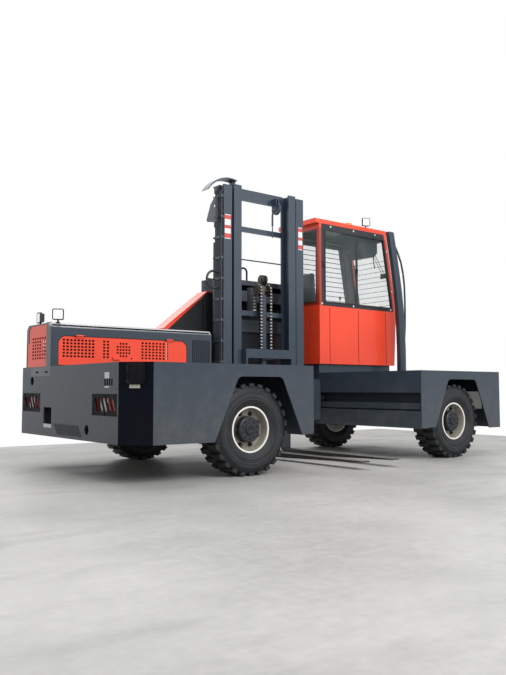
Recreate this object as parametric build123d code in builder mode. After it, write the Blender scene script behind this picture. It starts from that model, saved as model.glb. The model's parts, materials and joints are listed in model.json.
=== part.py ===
from build123d import *
import os

os.makedirs("parts", exist_ok=True)

# Side loader forklift, millimetres. +X to the cab end, +Y away from the load side, +Z up.
# Origin: on the floor, in the middle of the overall length and of the overall width.

# Overall sizes
rear_block = 1945
well_length = 1580
front_block = 1445
chassis_width = 2360
fork_overhang = 200
deck_height = 1000
deck_step = 15
skirt_bottom = 325
well_rise = 35
skin = 12
deck_plate = 12

# Wheels
tyre_diameter = 830
tyre_width = 300
lug_height = 22
lug_count = 26
rim_diameter = 418
wheel_inset = 60
rear_axle_set = 685
front_axle_set = 675
running_gap = 0.3
side_clear = 8

# Ends, well edges, sides and heights that follow from them
chassis_length = rear_block + well_length + front_block
rear_x = -chassis_length / 2
well_rear_x = rear_x + rear_block
well_front_x = well_rear_x + well_length
front_x = well_front_x + front_block
well_mid_x = (well_rear_x + well_front_x) / 2
near_y = -(chassis_width - fork_overhang) / 2
far_y = near_y + chassis_width
mid_y = (near_y + far_y) / 2
cab_deck_height = deck_height - deck_step
tyre_radius = tyre_diameter / 2
axle_z = tyre_radius
rear_axle_x = well_rear_x - rear_axle_set
front_axle_x = well_front_x + front_axle_set
near_wheel_y = near_y + wheel_inset + tyre_width / 2
far_wheel_y = far_y - wheel_inset - tyre_width / 2

# Frame round the mast well, open on the near side
wall_depth = 130
spine_width = 330
spine_drop = 40
spine_y = far_y - spine_width
spine_top = deck_height - spine_drop

# Wheel arches: half widths at the top and at the skirt's lower edge
arch_clear = 60
arch_top = tyre_diameter + arch_clear
arch_half_top = 250
arch_half_bottom = 505
arch_shift = 50
arch_radius = 60

# Corner chamfer of the rear block
corner_x = 200
corner_y = 220
seam_x = 16
seam_y = 18

# Engine hood on the far side of the rear block
hood_width = 615
hood_far_inset = 95
hood_length = 1900
hood_height = 430
hood_shoulder = 45
hood_wall = 14
hood_far_y = far_y - hood_far_inset
hood_near_y = hood_far_y - hood_width
hood_x0 = rear_x
hood_x1 = hood_x0 + hood_length
hood_top = deck_height + hood_height

# Lift-off hinges of the hood panel and of the cab door
hinge_pin = 4
hinge_eye = 8
hinge_half = 40
hinge_ear = 20
hinge_out = 9
hinge_over = 2

# Cab on the far side of the front block
cab_width = 738
cab_far_inset = 22
plinth_height = 115
cab_sill_height = 740
cab_window_height = 1060
cab_wall = 30
cab_foot_inset = 50
cab_sill_inset = 5
cab_head_inset = 190
roof_thick = 60
roof_overhang = 60
pillar = 60
glass = 6
cab_far_y = far_y - cab_far_inset
cab_near_y = cab_far_y - cab_width
cab_rear_x = well_front_x
cab_floor = cab_deck_height + plinth_height
cab_sill = cab_floor + cab_sill_height
cab_top = cab_sill + cab_window_height
cab_front_low = front_x - cab_foot_inset
cab_front_sill = front_x - cab_sill_inset
cab_front_top = front_x - cab_head_inset

# Mast
mast_shift = 85
mast_x = well_mid_x - mast_shift
mast_behind_near = 1600
mast_front_y = near_y + mast_behind_near
mast_depth = 170
mast_half = 612
rail_width = 120
rail_gap = 20
inner_width = 110
flange = 22
web = 18
mast_bottom = 330
mast_top = 3150
inner_forward = 12

# Forks and their carriage
fork_spacing = 430
fork_width = 110
fork_thick = 50
fork_floor = 35
carriage_width = 690


def block(x0, x1, y0, y1, z0, z1, mode=Mode.ADD):
    """Axis-parallel plate or bar between two corners, inside the current part."""
    with Locations(((x0 + x1) / 2, (y0 + y1) / 2, (z0 + z1) / 2)):
        Box(x1 - x0, y1 - y0, z1 - z0, mode=mode)


def tube_x(x0, x1, y, z, radius, mode=Mode.ADD):
    """Round bar along X."""
    with Locations(Location(((x0 + x1) / 2, y, z), (0, 90, 0))):
        Cylinder(radius, abs(x1 - x0), mode=mode)


def tube_y(y0, y1, x, z, radius, mode=Mode.ADD):
    """Round bar along Y."""
    with Locations(Location((x, (y0 + y1) / 2, z), (90, 0, 0))):
        Cylinder(radius, abs(y1 - y0), mode=mode)


def tube_z(z0, z1, x, y, radius, mode=Mode.ADD):
    """Round bar along Z."""
    with Locations((x, y, (z0 + z1) / 2)):
        Cylinder(radius, abs(z1 - z0), mode=mode)


def at_y(y):
    """Sketch plane across Y: local x is +X, local y is +Z; a negative extrude goes to +Y."""
    return Plane.XZ.offset(-y)


def write(builder, name):
    """Labels a finished piece and writes it as parts/name.step."""
    builder.part.label = name
    export_step(builder.part, f"parts/{name}.step")


def arch_outline(axle_x, low):
    """Trapezoid of a wheel arch around one axle, down past the skirt's lower edge."""
    middle = axle_x + arch_shift
    slope = (arch_half_bottom - arch_half_top) / (arch_top - skirt_bottom)
    reach = arch_half_bottom + slope * (skirt_bottom - low)
    return [
        (middle - reach, low),
        (middle - arch_half_top, arch_top),
        (middle + arch_half_top, arch_top),
        (middle + reach, low),
    ]


# Skirts: side plates with their wheel arches, one table row each:
# name, outer face y, direction of the thickness, first x, last x, axle x, top z
below = skirt_bottom - 80
skirts = [
    ("rear_near_skirt", near_y, 1, rear_x + corner_x, well_rear_x, rear_axle_x, deck_height),
    ("front_near_skirt", near_y, 1, well_front_x, front_x - skin, front_axle_x, cab_deck_height),
]
for name, face_y, inward, x0, x1, axle_x, top in skirts:
    well_end = min((x0, x1), key=lambda x: min(abs(x - well_rear_x), abs(x - well_front_x)))
    outer_end = x0 + x1 - well_end
    with BuildPart() as skirt:
        with BuildSketch(at_y(face_y)):
            with BuildLine():
                Polyline(
                    (outer_end, skirt_bottom),
                    (axle_x, skirt_bottom),
                    (axle_x, skirt_bottom + well_rise),
                    (well_end, skirt_bottom + well_rise),
                    (well_end, top),
                    (outer_end, top),
                    close=True,
                )
            make_face()
            with BuildSketch(mode=Mode.PRIVATE) as arch:
                with BuildLine():
                    Polyline(*arch_outline(axle_x, below), close=True)
                make_face()
                fillet(arch.vertices().group_by(Axis.Y)[-1], arch_radius)
            add(arch.sketch, mode=Mode.SUBTRACT)
        extrude(amount=-skin * inward)
    write(skirt, name)

# Far side: one plate from tail to nose with both arches and two steps up to the cab
step_x = front_x - 147
step_width = 150
step_height = 130
step_depth = 150
step_sheet = 6
step_heights = (skirt_bottom + 125, skirt_bottom + 405)
with BuildPart() as far_side:
    with BuildSketch(at_y(far_y - skin)):
        with BuildLine():
            Polyline(
                (rear_x + skin, skirt_bottom),
                (front_x - skin, skirt_bottom),
                (front_x - skin, cab_deck_height),
                (well_front_x, cab_deck_height),
                (well_front_x, deck_height),
                (rear_x + skin, deck_height),
                close=True,
            )
        make_face()
        for axle_x in (rear_axle_x, front_axle_x):
            with BuildSketch(mode=Mode.PRIVATE) as arch:
                with BuildLine():
                    Polyline(*arch_outline(axle_x, below), close=True)
                make_face()
                fillet(arch.vertices().group_by(Axis.Y)[-1], arch_radius)
            add(arch.sketch, mode=Mode.SUBTRACT)
        with Locations(*((step_x, z) for z in step_heights)):
            Rectangle(step_width, step_height, mode=Mode.SUBTRACT)
    extrude(amount=-skin)
    for z in step_heights:
        low = z - step_height / 2 - step_sheet
        block(
            step_x - step_width / 2 - step_sheet,
            step_x + step_width / 2 + step_sheet,
            far_y - step_depth,
            far_y - skin,
            low,
            low + step_sheet,
        )
        for x in (step_x - step_width / 2 - step_sheet, step_x + step_width / 2):
            block(x, x + step_sheet, far_y - step_depth, far_y - skin, low, low + step_height)
write(far_side, "far_side")

# Lamp windows of both ends: their middles, and the guard's and the window's sizes
end_lamp_width = 462
end_lamp_height = 184
end_lamp_z = skirt_bottom + 320
end_lamp_ys = (near_y + 473, far_y - 258)
guard_gap = 1
guard_thick = 8
guard_lap = 12
guard_depth = 20

# Tail plate across the rear end, notched for the foot of the hood's end cover
grille_slots = 15
grille_pitch = 37
cover_drop = 100
cover_foot = 502
with BuildPart() as tail_plate:
    block(rear_x, rear_x + skin, near_y + corner_y, far_y, skirt_bottom, deck_height)
    with BuildSketch(Plane.YZ.offset(rear_x)):
        with Locations((mid_y + 35, skirt_bottom + 78)):
            with GridLocations(grille_pitch, 1, grille_slots, 1):
                SlotCenterToCenter(124, 15, rotation=48)
        with Locations((far_y - 674, skirt_bottom + 199)):
            Rectangle(193, 158)
        with Locations((near_y + 808, skirt_bottom + 96), (far_y - 264, deck_height - 140)):
            Circle(44)
        with Locations((near_y + 401, deck_height - 164)):
            with GridLocations(42, 1, 4, 1):
                Rectangle(28, 56)
        for y in end_lamp_ys:
            with Locations((y, end_lamp_z)):
                Rectangle(end_lamp_width, end_lamp_height)
        with Locations((hood_near_y - 14 + cover_foot / 2, deck_height - cover_drop / 2)):
            Rectangle(cover_foot, cover_drop)
    extrude(amount=skin, mode=Mode.SUBTRACT)
write(tail_plate, "tail_plate")

# Dark corner plate between tail plate and near skirt
with BuildPart() as corner_plate:
    with BuildSketch(Plane.XY.offset(skirt_bottom)):
        with BuildLine():
            Polyline(
                (rear_x, near_y + corner_y),
                (rear_x + corner_x, near_y),
                (rear_x + corner_x, near_y + seam_y),
                (rear_x + seam_x, near_y + corner_y),
                close=True,
            )
        make_face()
    extrude(amount=deck_height - skirt_bottom)
write(corner_plate, "corner_plate")

# Black box on the corner plate's upper half, round at its lower corners
corner_box_width = 157
corner_box_height = 176
corner_box_depth = 24
corner_face = Plane(
    origin=(rear_x + corner_x / 2, near_y + corner_y / 2, deck_height - 6 - corner_box_height / 2),
    x_dir=(corner_x, -corner_y, 0),
    z_dir=(-corner_y, -corner_x, 0),
)
with BuildPart() as corner_box:
    with BuildSketch(corner_face):
        box_face = Rectangle(corner_box_width, corner_box_height)
        fillet(box_face.vertices().group_by(Axis.Y)[0], 30)
    extrude(amount=corner_box_depth)
    with BuildSketch(corner_face.offset(corner_box_depth)):
        RectangleRounded(corner_box_width - 40, corner_box_height - 50, 18)
    extrude(amount=-5, mode=Mode.SUBTRACT)
write(corner_box, "corner_box")

# Rear deck, cut out under the hood for the engine
engine_x0 = rear_x + 170
engine_x1 = rear_axle_x - tyre_radius - 25
engine_low = 600
engine_inset = 130
engine_top_gap = 120
bay_clear = 20
bay_edge = 90
with BuildPart() as rear_deck:
    with BuildSketch(Plane.XY.offset(deck_height - deck_plate)):
        with BuildLine():
            Polyline(
                (rear_x + skin, near_y + corner_y),
                (rear_x + skin, far_y - skin),
                (well_rear_x, far_y - skin),
                (well_rear_x, near_y + skin),
                (rear_x + corner_x, near_y + seam_y),
                (rear_x + seam_x, near_y + corner_y),
                close=True,
            )
        make_face()
        with Locations(((engine_x0 + rear_axle_x) / 2, (hood_near_y + hood_far_y) / 2)):
            Rectangle(rear_axle_x - engine_x0 + 2 * bay_clear, hood_width - 2 * bay_edge, mode=Mode.SUBTRACT)
    extrude(amount=deck_plate)
write(rear_deck, "rear_deck")

# Front deck
with BuildPart() as front_deck:
    block(
        well_front_x,
        front_x - skin,
        near_y + skin,
        far_y - skin,
        cab_deck_height - deck_plate,
        cab_deck_height,
    )
write(front_deck, "front_deck")

# Nose plate across the cab end, with the same lamp windows and grille
with BuildPart() as nose_plate:
    block(front_x - skin, front_x, near_y, far_y, skirt_bottom, cab_deck_height)
    with BuildSketch(Plane.YZ.offset(front_x)):
        with Locations((mid_y + 35, skirt_bottom + 78)):
            with GridLocations(grille_pitch, 1, grille_slots, 1):
                SlotCenterToCenter(124, 15, rotation=132)
        for y in end_lamp_ys:
            with Locations((y, end_lamp_z)):
                Rectangle(end_lamp_width, end_lamp_height)
    extrude(amount=-skin, mode=Mode.SUBTRACT)
write(nose_plate, "nose_plate")

# Slatted guards set flush into the lamp windows, one table row per end:
# outer face x, direction of the thickness, lean of the slots
with BuildPart() as lamp_guards:
    for face_x, inward, lean in ((rear_x, 1, 62), (front_x, -1, 118)):
        for y in end_lamp_ys:
            with BuildSketch(Plane.YZ.offset(face_x + inward * (skin - guard_thick))):
                with Locations((y, end_lamp_z)):
                    Rectangle(end_lamp_width - 2 * guard_gap, end_lamp_height - 2 * guard_gap)
                    with GridLocations(74, 1, 5, 1):
                        SlotCenterToCenter(96, 40, rotation=lean, mode=Mode.SUBTRACT)
            extrude(amount=inward * guard_thick)
            with BuildSketch(Plane.YZ.offset(face_x + inward * skin)):
                with Locations((y, end_lamp_z)):
                    Rectangle(end_lamp_width + 2 * guard_lap, end_lamp_height + 2 * guard_lap)
                    Rectangle(
                        end_lamp_width - 2 * guard_lap,
                        end_lamp_height - 2 * guard_lap,
                        mode=Mode.SUBTRACT,
                    )
            extrude(amount=inward * guard_depth)
write(lamp_guards, "lamp_guards")

# Main frame: side members, well walls and the deep spine behind the mast
member_y = 330
member_width = 120
member_low = 520
member_high = 860
wall_low = 350
wall_lip = 540
wall_beam = 260
rail_height = 70
rail_proud = 30
rail_z = 590
with BuildPart() as main_frame:
    for side in (-1, 1):
        y0 = mid_y + side * member_y - member_width / 2
        spans = ((rear_x + skin, well_rear_x - wall_depth), (well_front_x + wall_depth, front_x - skin))
        for x0, x1 in spans:
            block(x0, x1, y0, y0 + member_width, member_low, member_high)
    for face_x, out, wall_top in (
        (well_rear_x, -1, deck_height - deck_plate),
        (well_front_x, 1, cab_deck_height - deck_plate),
    ):
        with BuildSketch(at_y(near_y + skin)):
            with BuildLine():
                Polyline(
                    (face_x, wall_low),
                    (face_x, wall_lip),
                    (face_x + out * (wall_depth - skin), wall_lip),
                    (face_x + out * (wall_depth - skin), (deck_height - wall_beam)),
                    (face_x, (deck_height - wall_beam)),
                    (face_x, wall_top),
                    (face_x + out * wall_depth, wall_top),
                    (face_x + out * wall_depth, wall_low),
                    close=True,
                )
            make_face()
        extrude(amount=-(spine_y - near_y - skin))
        root_x = face_x + out * (wall_depth - skin)
        tip_x = face_x + out * rail_proud
        block(
            min(root_x, tip_x),
            max(root_x, tip_x),
            near_y + 40,
            spine_y,
            rail_z - rail_height / 2,
            rail_z + rail_height / 2,
        )
    block(
        well_rear_x - wall_depth,
        well_front_x + wall_depth,
        spine_y,
        far_y - skin,
        wall_low,
        spine_top,
    )
    for x in (engine_x0 + 100, engine_x1 - 100):
        block(x - 40, x + 40, mid_y + member_y, far_y - skin, engine_low - 60, engine_low)
write(main_frame, "main_frame")

# Engine: one plain block at its place and size, on its bearers under the hood
with BuildPart() as engine_block:
    block(
        engine_x0,
        engine_x1,
        hood_near_y + engine_inset,
        hood_far_y - engine_inset,
        engine_low,
        hood_top - engine_top_gap,
    )
write(engine_block, "engine_block")

# Hood shell
panel_x0 = hood_x0 + 82
panel_x1 = hood_x1 - 327
panel_low = deck_height + 10
panel_high = hood_top - 125
panel_round = 84
louvre_count = 9
louvre_pitch = 27
louvre_width = 13
louvre_height = 290
hinge_y = hood_near_y - hinge_out
hinge_z = panel_high + hinge_over
panel_hinges = ((panel_x0 + panel_x1) / 2 - 520, (panel_x0 + panel_x1) / 2 + 520)
end_strip = 100
end_foot = deck_height - cover_drop
cover_y0 = hood_near_y - 14 + 2
cover_y1 = cover_y0 + cover_foot - 4
lip_low = deck_height + 248


def end_panel_outline():
    """Outline of the rear panel, round at its far top corner under the shell's lip."""
    near = hood_near_y + end_strip
    far = hood_far_y - hood_wall
    lip = far - 46
    top = hood_top - hood_wall
    Polyline((lip, top - 60), (lip, lip_low), (far, lip_low), (far, deck_height))
    Polyline((far, deck_height), (near, deck_height), (near, top), (lip - 60, top))
    RadiusArc((lip - 60, top), (lip, top - 60), 60)


with BuildPart() as hood_shell:
    with BuildSketch(Plane.YZ.offset(hood_x0)):
        with BuildLine():
            Polyline(
                (hood_near_y, deck_height),
                (hood_near_y, hood_top - hood_shoulder),
                (hood_near_y + hood_shoulder, hood_top),
                (hood_far_y - hood_shoulder, hood_top),
                (hood_far_y, hood_top - hood_shoulder),
                (hood_far_y, deck_height),
                close=True,
            )
        make_face()
    extrude(amount=hood_length)
    top_far = hood_shell.edges().filter_by(Axis.X).sort_by(Axis.Z)[-4:].sort_by(Axis.Y)[-2:]
    fillet(top_far, 30)
    block(
        hood_x0 + hood_wall,
        hood_x1 - hood_wall,
        hood_near_y + hood_wall,
        hood_far_y - hood_wall,
        deck_height,
        hood_top - hood_wall,
        mode=Mode.SUBTRACT,
    )
    with BuildSketch(at_y(hood_near_y)):
        with BuildSketch(mode=Mode.PRIVATE) as opening:
            with Locations(((panel_x0 + panel_x1) / 2, (panel_low + panel_high) / 2)):
                Rectangle(panel_x1 - panel_x0, panel_high - panel_low)
            fillet(opening.vertices().group_by(Axis.Y)[-1], panel_round)
        add(opening.sketch)
        with Locations((hood_x1 - 142, deck_height + 35 + louvre_height / 2)):
            with GridLocations(louvre_pitch, 1, louvre_count, 1):
                Rectangle(louvre_width, louvre_height)
    extrude(amount=-hood_wall, mode=Mode.SUBTRACT)
    with BuildSketch(at_y(hood_far_y)):
        with Locations((hood_x1 - 142, deck_height + 35 + louvre_height / 2)):
            with GridLocations(louvre_pitch, 1, louvre_count, 1):
                Rectangle(louvre_width, louvre_height)
        with Locations((hood_x0 + 330, deck_height + 180)):
            with GridLocations(60, 40, 6, 6):
                SlotOverall(46, 16)
    extrude(amount=hood_wall, mode=Mode.SUBTRACT)
    with BuildSketch(Plane.YZ.offset(hood_x0)):
        with BuildLine():
            end_panel_outline()
        make_face()
    extrude(amount=hood_wall, mode=Mode.SUBTRACT)
    block(hood_x0, hood_x0 + skin, cover_y0, cover_y1, end_foot + 2, deck_height)
    block(hood_x0, hood_x0 + skin, cover_y0, hood_near_y + 5, deck_height, hood_top + 5)
    block(hood_x0, hood_x0 + skin, hood_near_y, hood_near_y + end_strip, hood_top - 60, hood_top + 5)
    for y in (hood_near_y + 86, hood_near_y + 322):
        block(hood_x0, hood_x0 + skin, y - 38, y + 38, end_foot + 38, end_foot + 54, mode=Mode.SUBTRACT)
    for x in panel_hinges:
        tube_x(x - hinge_half - hinge_ear, x + hinge_half + hinge_ear, hinge_y, hinge_z, hinge_pin)
        for ear in (x - hinge_half - hinge_ear, x + hinge_half + 1):
            tube_x(ear, ear + hinge_ear - 1, hinge_y, hinge_z, hinge_eye)
            block(ear, ear + hinge_ear - 1, hinge_y, hood_near_y + 5, panel_high, panel_high + 12)
write(hood_shell, "hood_shell")

# Orange side panel in the hood, perforated in groups; one table row per grid of holes:
# first column's distance from the panel's rear end, columns, column pitch
panel_sheet = 6
panel_gap = 6
hole_wide = 25
hole_high = 19
hole_rows = 6
hole_row_pitch = 32
hole_middle_z = panel_low + 173
hole_grids = (
    (60, 9, 39),
    (494, 2, 42),
    (937, 8, 43),
)
round_rows = (3, 5, 5, 5, 3)
round_x = panel_x0 + 714
pull_x = panel_x0 + 630
with BuildPart() as hood_side_panel:
    with BuildSketch(at_y(hood_near_y + 3)):
        with BuildSketch(mode=Mode.PRIVATE) as sheet:
            with Locations(((panel_x0 + panel_x1) / 2, (panel_low + panel_high) / 2)):
                Rectangle(panel_x1 - panel_x0 - 2 * panel_gap, panel_high - panel_low - 2 * panel_gap)
            fillet(sheet.vertices().group_by(Axis.Y)[-1], panel_round - panel_gap)
        add(sheet.sketch)
        for from_end, columns, pitch in hole_grids:
            with Locations((panel_x0 + from_end + (columns - 1) * pitch / 2, hole_middle_z)):
                with GridLocations(pitch, hole_row_pitch, columns, hole_rows):
                    Rectangle(hole_wide, hole_high, mode=Mode.SUBTRACT)
        for row, columns in enumerate(round_rows):
            with Locations((round_x, hole_middle_z + (row - 2) * hole_row_pitch)):
                with GridLocations(34, 1, columns, 1):
                    Rectangle(22, hole_high, mode=Mode.SUBTRACT)
        with Locations((pull_x + 178, panel_low + 84)):
            Circle(9, mode=Mode.SUBTRACT)
    extrude(amount=-panel_sheet)
    block(pull_x - 41, pull_x + 41, hood_near_y - 16, hood_near_y + 5, panel_low + 88, panel_low + 94)
    block(pull_x - 41, pull_x + 41, hood_near_y - 16, hood_near_y - 10, panel_low + 68, panel_low + 94)
    for x in panel_hinges:
        tube_x(x - hinge_half, x + hinge_half, hinge_y, hinge_z, hinge_eye)
        block(x - hinge_half, x + hinge_half, hinge_y, hood_near_y + 5, panel_high - 16, panel_high - 4)
        tube_x(x - hinge_half, x + hinge_half, hinge_y, hinge_z, hinge_pin + running_gap, mode=Mode.SUBTRACT)
write(hood_side_panel, "hood_side_panel")

# Orange grille panel at the hood's rear end
with BuildPart() as hood_rear_panel:
    with BuildSketch(Plane.YZ.offset(hood_x0 + 4)):
        with BuildLine():
            end_panel_outline()
        make_face()
        with Locations((hood_near_y + 294, deck_height + 186)):
            with GridLocations(62, 33, 6, 7):
                Rectangle(40, 20, mode=Mode.SUBTRACT)
    extrude(amount=hood_wall - 4)
write(hood_rear_panel, "hood_rear_panel")

# Sloped orange cover between hood and mast, with a dark side plate
slope_x0 = hood_x1 - 340
slope_x1 = hood_x1 + 270
slope_x2 = well_rear_x + 280
slope_low = hood_top + 54
slope_high = hood_top + 535
slope_far_y = far_y - 10
slope_near_y = slope_far_y - 210
cover_sheet = 12
with BuildPart() as slope_cover:
    with BuildSketch(at_y(slope_near_y)):
        with BuildLine():
            Polyline(
                (slope_x0, slope_low - 30),
                (slope_x0, slope_low),
                (slope_x1, slope_high),
                (slope_x2, slope_high),
                (slope_x2, slope_high - cover_sheet),
                (slope_x1 + 5, slope_high - cover_sheet),
                (slope_x0 + 40, slope_low - 30),
                close=True,
            )
        make_face()
    extrude(amount=-(slope_far_y - slope_near_y))
write(slope_cover, "slope_cover")

# Dark housing under the sloped cover: two side plates, an end plate and a foot on the deck
with BuildPart() as slope_side:
    for y in (slope_near_y, slope_far_y - cover_sheet):
        with BuildSketch(at_y(y)):
            with BuildLine():
                Polyline(
                    (slope_x0 + 40, slope_low - 30),
                    (slope_x1 + 5, slope_high - cover_sheet),
                    (slope_x2, slope_high - cover_sheet),
                    (slope_x2, deck_height),
                    (hood_x1, deck_height),
                    (hood_x1, slope_low - 30),
                    close=True,
                )
            make_face()
        extrude(amount=-cover_sheet)
    block(hood_x1, slope_x2, slope_near_y, slope_far_y, deck_height, deck_height + cover_sheet)
    block(hood_x1, hood_x1 + cover_sheet, slope_near_y, slope_far_y, deck_height, slope_low - 30)
    block(
        slope_x1 - 60,
        slope_x1 - 30,
        slope_near_y - 14,
        slope_near_y,
        deck_height,
        slope_high - 120,
    )
write(slope_side, "slope_side")

# Rack behind the mast: posts, shelves and a closed tank
rack_x0 = slope_x2
rack_x1 = cab_rear_x - 5
rack_near_y = spine_y - 50
rack_height = 1160
rack_post = 80
shelf_bands = ((520, 670), (900, 1030), (1100, 1160))
filter_x = well_mid_x
bow_x = well_mid_x - 90
bow_y = rack_near_y + 60
bow_z = spine_top + rack_height
with BuildPart() as rack:
    for x0 in (rack_x0, rack_x1 - rack_post):
        block(x0, x0 + rack_post, rack_near_y, far_y - skin, spine_top, spine_top + rack_height)
    for low, high in shelf_bands:
        block(
            rack_x0 + rack_post,
            rack_x1 - rack_post,
            rack_near_y,
            far_y - skin,
            spine_top + low,
            spine_top + high,
        )
    block(
        rack_x0 + rack_post + 20,
        rack_x1 - rack_post - 20,
        rack_near_y + 40,
        far_y - skin - 30,
        spine_top,
        spine_top + shelf_bands[0][0],
    )
    tube_z(spine_top + 780, spine_top + 1070, filter_x, rack_near_y + 25, 78)
    with BuildLine() as bow_path:
        Line((bow_x - 52, bow_y, bow_z - 2), (bow_x - 52, bow_y, bow_z + 110))
        ThreePointArc(
            (bow_x - 52, bow_y, bow_z + 110),
            (bow_x, bow_y, bow_z + 162),
            (bow_x + 52, bow_y, bow_z + 110),
        )
        Line((bow_x + 52, bow_y, bow_z + 110), (bow_x + 52, bow_y, bow_z - 2))
    with BuildSketch(Plane.XY.offset(bow_z - 2)):
        with Locations((bow_x - 52, bow_y)):
            Circle(12)
    sweep(path=bow_path.line)
write(rack, "rack")

# Cab plinth on the front deck
with BuildPart() as cab_plinth:
    block(cab_rear_x + 20, cab_front_low - 60, cab_near_y + 40, cab_far_y - 30, cab_deck_height, cab_floor)
write(cab_plinth, "cab_plinth")

# Cab: lower shell
door_x0 = cab_rear_x + 260
door_x1 = cab_front_low - 100
door_low = cab_floor + 30
door_high = cab_top - 60
door_gap = 5
door_stile = 60
door_hinge_x = door_x1 + hinge_over
door_hinge_y = cab_far_y + hinge_out
door_hinges = (door_low + 120, cab_sill - 110)
groove_width = 10
groove_depth = 5
groove_low = cab_floor + 30
groove_high = cab_sill - 20
groove_foot = 34
groove_xs = (cab_rear_x + 175, cab_rear_x + 695, cab_rear_x + 1229)


def cab_front_at(z):
    """Front edge x of the cab's side above the sill."""
    return cab_front_sill + (cab_front_top - cab_front_sill) * (z - cab_sill) / (cab_top - cab_sill)


def door_edge_at(z):
    """Front edge x of the door above the sill, parallel to the windscreen."""
    return door_x1 + cab_front_at(z) - cab_front_sill


with BuildPart() as cab_shell:
    with BuildSketch(at_y(cab_near_y)):
        with BuildLine():
            Polyline(
                (cab_rear_x, cab_floor),
                (cab_rear_x, cab_sill),
                (cab_front_sill, cab_sill),
                (cab_front_low, cab_floor),
                close=True,
            )
        make_face()
    extrude(amount=-(cab_far_y - cab_near_y))
    with BuildSketch(at_y(cab_near_y + cab_wall)):
        with BuildLine():
            Polyline(
                (cab_rear_x + cab_wall, cab_floor + cab_wall),
                (cab_rear_x + cab_wall, cab_sill + 1),
                (cab_front_sill - cab_wall, cab_sill + 1),
                (cab_front_low - cab_wall, cab_floor + cab_wall),
                close=True,
            )
        make_face()
    extrude(amount=-(cab_far_y - cab_near_y - 2 * cab_wall), mode=Mode.SUBTRACT)
    block(
        door_x0 - door_gap,
        door_x1 + door_gap,
        cab_far_y - cab_wall,
        cab_far_y,
        door_low - door_gap,
        cab_sill + 1,
        mode=Mode.SUBTRACT,
    )
    for x in groove_xs:
        block(
            x - groove_width / 2,
            x + groove_width / 2,
            cab_near_y,
            cab_near_y + groove_depth,
            groove_low,
            groove_high,
            mode=Mode.SUBTRACT,
        )
        block(
            x,
            x + groove_foot,
            cab_near_y,
            cab_near_y + groove_depth,
            groove_low,
            groove_low + groove_width,
            mode=Mode.SUBTRACT,
        )
    for z in door_hinges:
        tube_z(z - hinge_half - hinge_ear, z + hinge_half + hinge_ear, door_hinge_x, door_hinge_y, hinge_pin)
        for ear in (z - hinge_half - hinge_ear, z + hinge_half + 1):
            tube_z(ear, ear + hinge_ear - 1, door_hinge_x, door_hinge_y, hinge_eye)
            block(
                door_hinge_x,
                door_x1 + door_gap + 12,
                cab_far_y - 5,
                door_hinge_y,
                ear,
                ear + hinge_ear - 1,
            )
write(cab_shell, "cab_shell")

# Cab: upper frame with its pillars; the near side is left open for the window frame
window_low = cab_sill + 52
window_high = cab_top - 81
strip = 33
front_strip = 48
window_x0 = cab_rear_x + 99
window_edge = 80
with BuildPart() as cab_frame:
    with BuildSketch(at_y(cab_near_y)):
        with BuildLine():
            Polyline(
                (cab_rear_x, cab_sill),
                (cab_rear_x, cab_top),
                (cab_front_top, cab_top),
                (cab_front_sill, cab_sill),
                close=True,
            )
        make_face()
    extrude(amount=-(cab_far_y - cab_near_y))
    with BuildSketch(at_y(cab_near_y + cab_wall)):
        with BuildLine():
            Polyline(
                (cab_rear_x + cab_wall, cab_sill - 1),
                (cab_rear_x + cab_wall, cab_top + 1),
                (cab_front_top - cab_wall, cab_top + 1),
                (cab_front_sill - cab_wall, cab_sill - 1),
                close=True,
            )
        make_face()
    extrude(amount=-(cab_far_y - cab_near_y - 2 * cab_wall), mode=Mode.SUBTRACT)
    with BuildSketch(at_y(cab_near_y)):
        with BuildLine():
            Polyline(
                (cab_rear_x + strip, cab_sill),
                (cab_rear_x + strip, cab_top),
                (cab_front_top - front_strip, cab_top),
                (cab_front_sill - front_strip, cab_sill),
                close=True,
            )
        make_face()
    extrude(amount=-cab_wall, mode=Mode.SUBTRACT)
    with BuildSketch(at_y(cab_far_y - cab_wall)):
        with BuildLine():
            Polyline(
                (door_x0 - door_gap, cab_sill - 1),
                (door_x0 - door_gap, door_high + door_gap),
                (door_edge_at(door_high) + door_gap, door_high + door_gap),
                (door_x1 + door_gap, cab_sill - 1),
                close=True,
            )
        make_face()
    extrude(amount=-cab_wall, mode=Mode.SUBTRACT)
    with BuildSketch(Plane.YZ.offset(cab_rear_x)):
        with Locations(((cab_near_y + cab_far_y) / 2, (window_low + window_high) / 2)):
            Rectangle(cab_far_y - cab_near_y - 2 * pillar, window_high - window_low)
    extrude(amount=cab_wall, mode=Mode.SUBTRACT)
    block(
        cab_front_top - 200,
        cab_front_sill + 50,
        cab_near_y + pillar,
        cab_far_y - pillar,
        window_low,
        window_high,
        mode=Mode.SUBTRACT,
    )
write(cab_frame, "cab_frame")

# Dark frame of the sliding window in the cab's near side, with its two meeting bars
meeting_x = cab_rear_x + 683
meeting_width = 24
with BuildPart() as window_frame:
    with BuildSketch(at_y(cab_near_y)):
        with BuildLine():
            Polyline(
                (cab_rear_x + strip, cab_sill),
                (cab_rear_x + strip, cab_top),
                (cab_front_top - front_strip, cab_top),
                (cab_front_sill - front_strip, cab_sill),
                close=True,
            )
        make_face()
        with BuildLine():
            Polyline(
                (window_x0, window_low),
                (window_x0, window_high),
                (cab_front_at(window_high) - window_edge, window_high),
                (cab_front_at(window_low) - window_edge, window_low),
                close=True,
            )
        make_face(mode=Mode.SUBTRACT)
    extrude(amount=-cab_wall)
    meeting_x0 = meeting_x - meeting_width / 2
    meeting_x1 = meeting_x + meeting_width / 2
    for x, y in ((meeting_x0, cab_near_y + 4), (meeting_x1, cab_near_y + 14)):
        block(x - meeting_width / 2, x + meeting_width / 2, y - 1, y + glass + 1, window_low, window_high)
write(window_frame, "window_frame")

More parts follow.
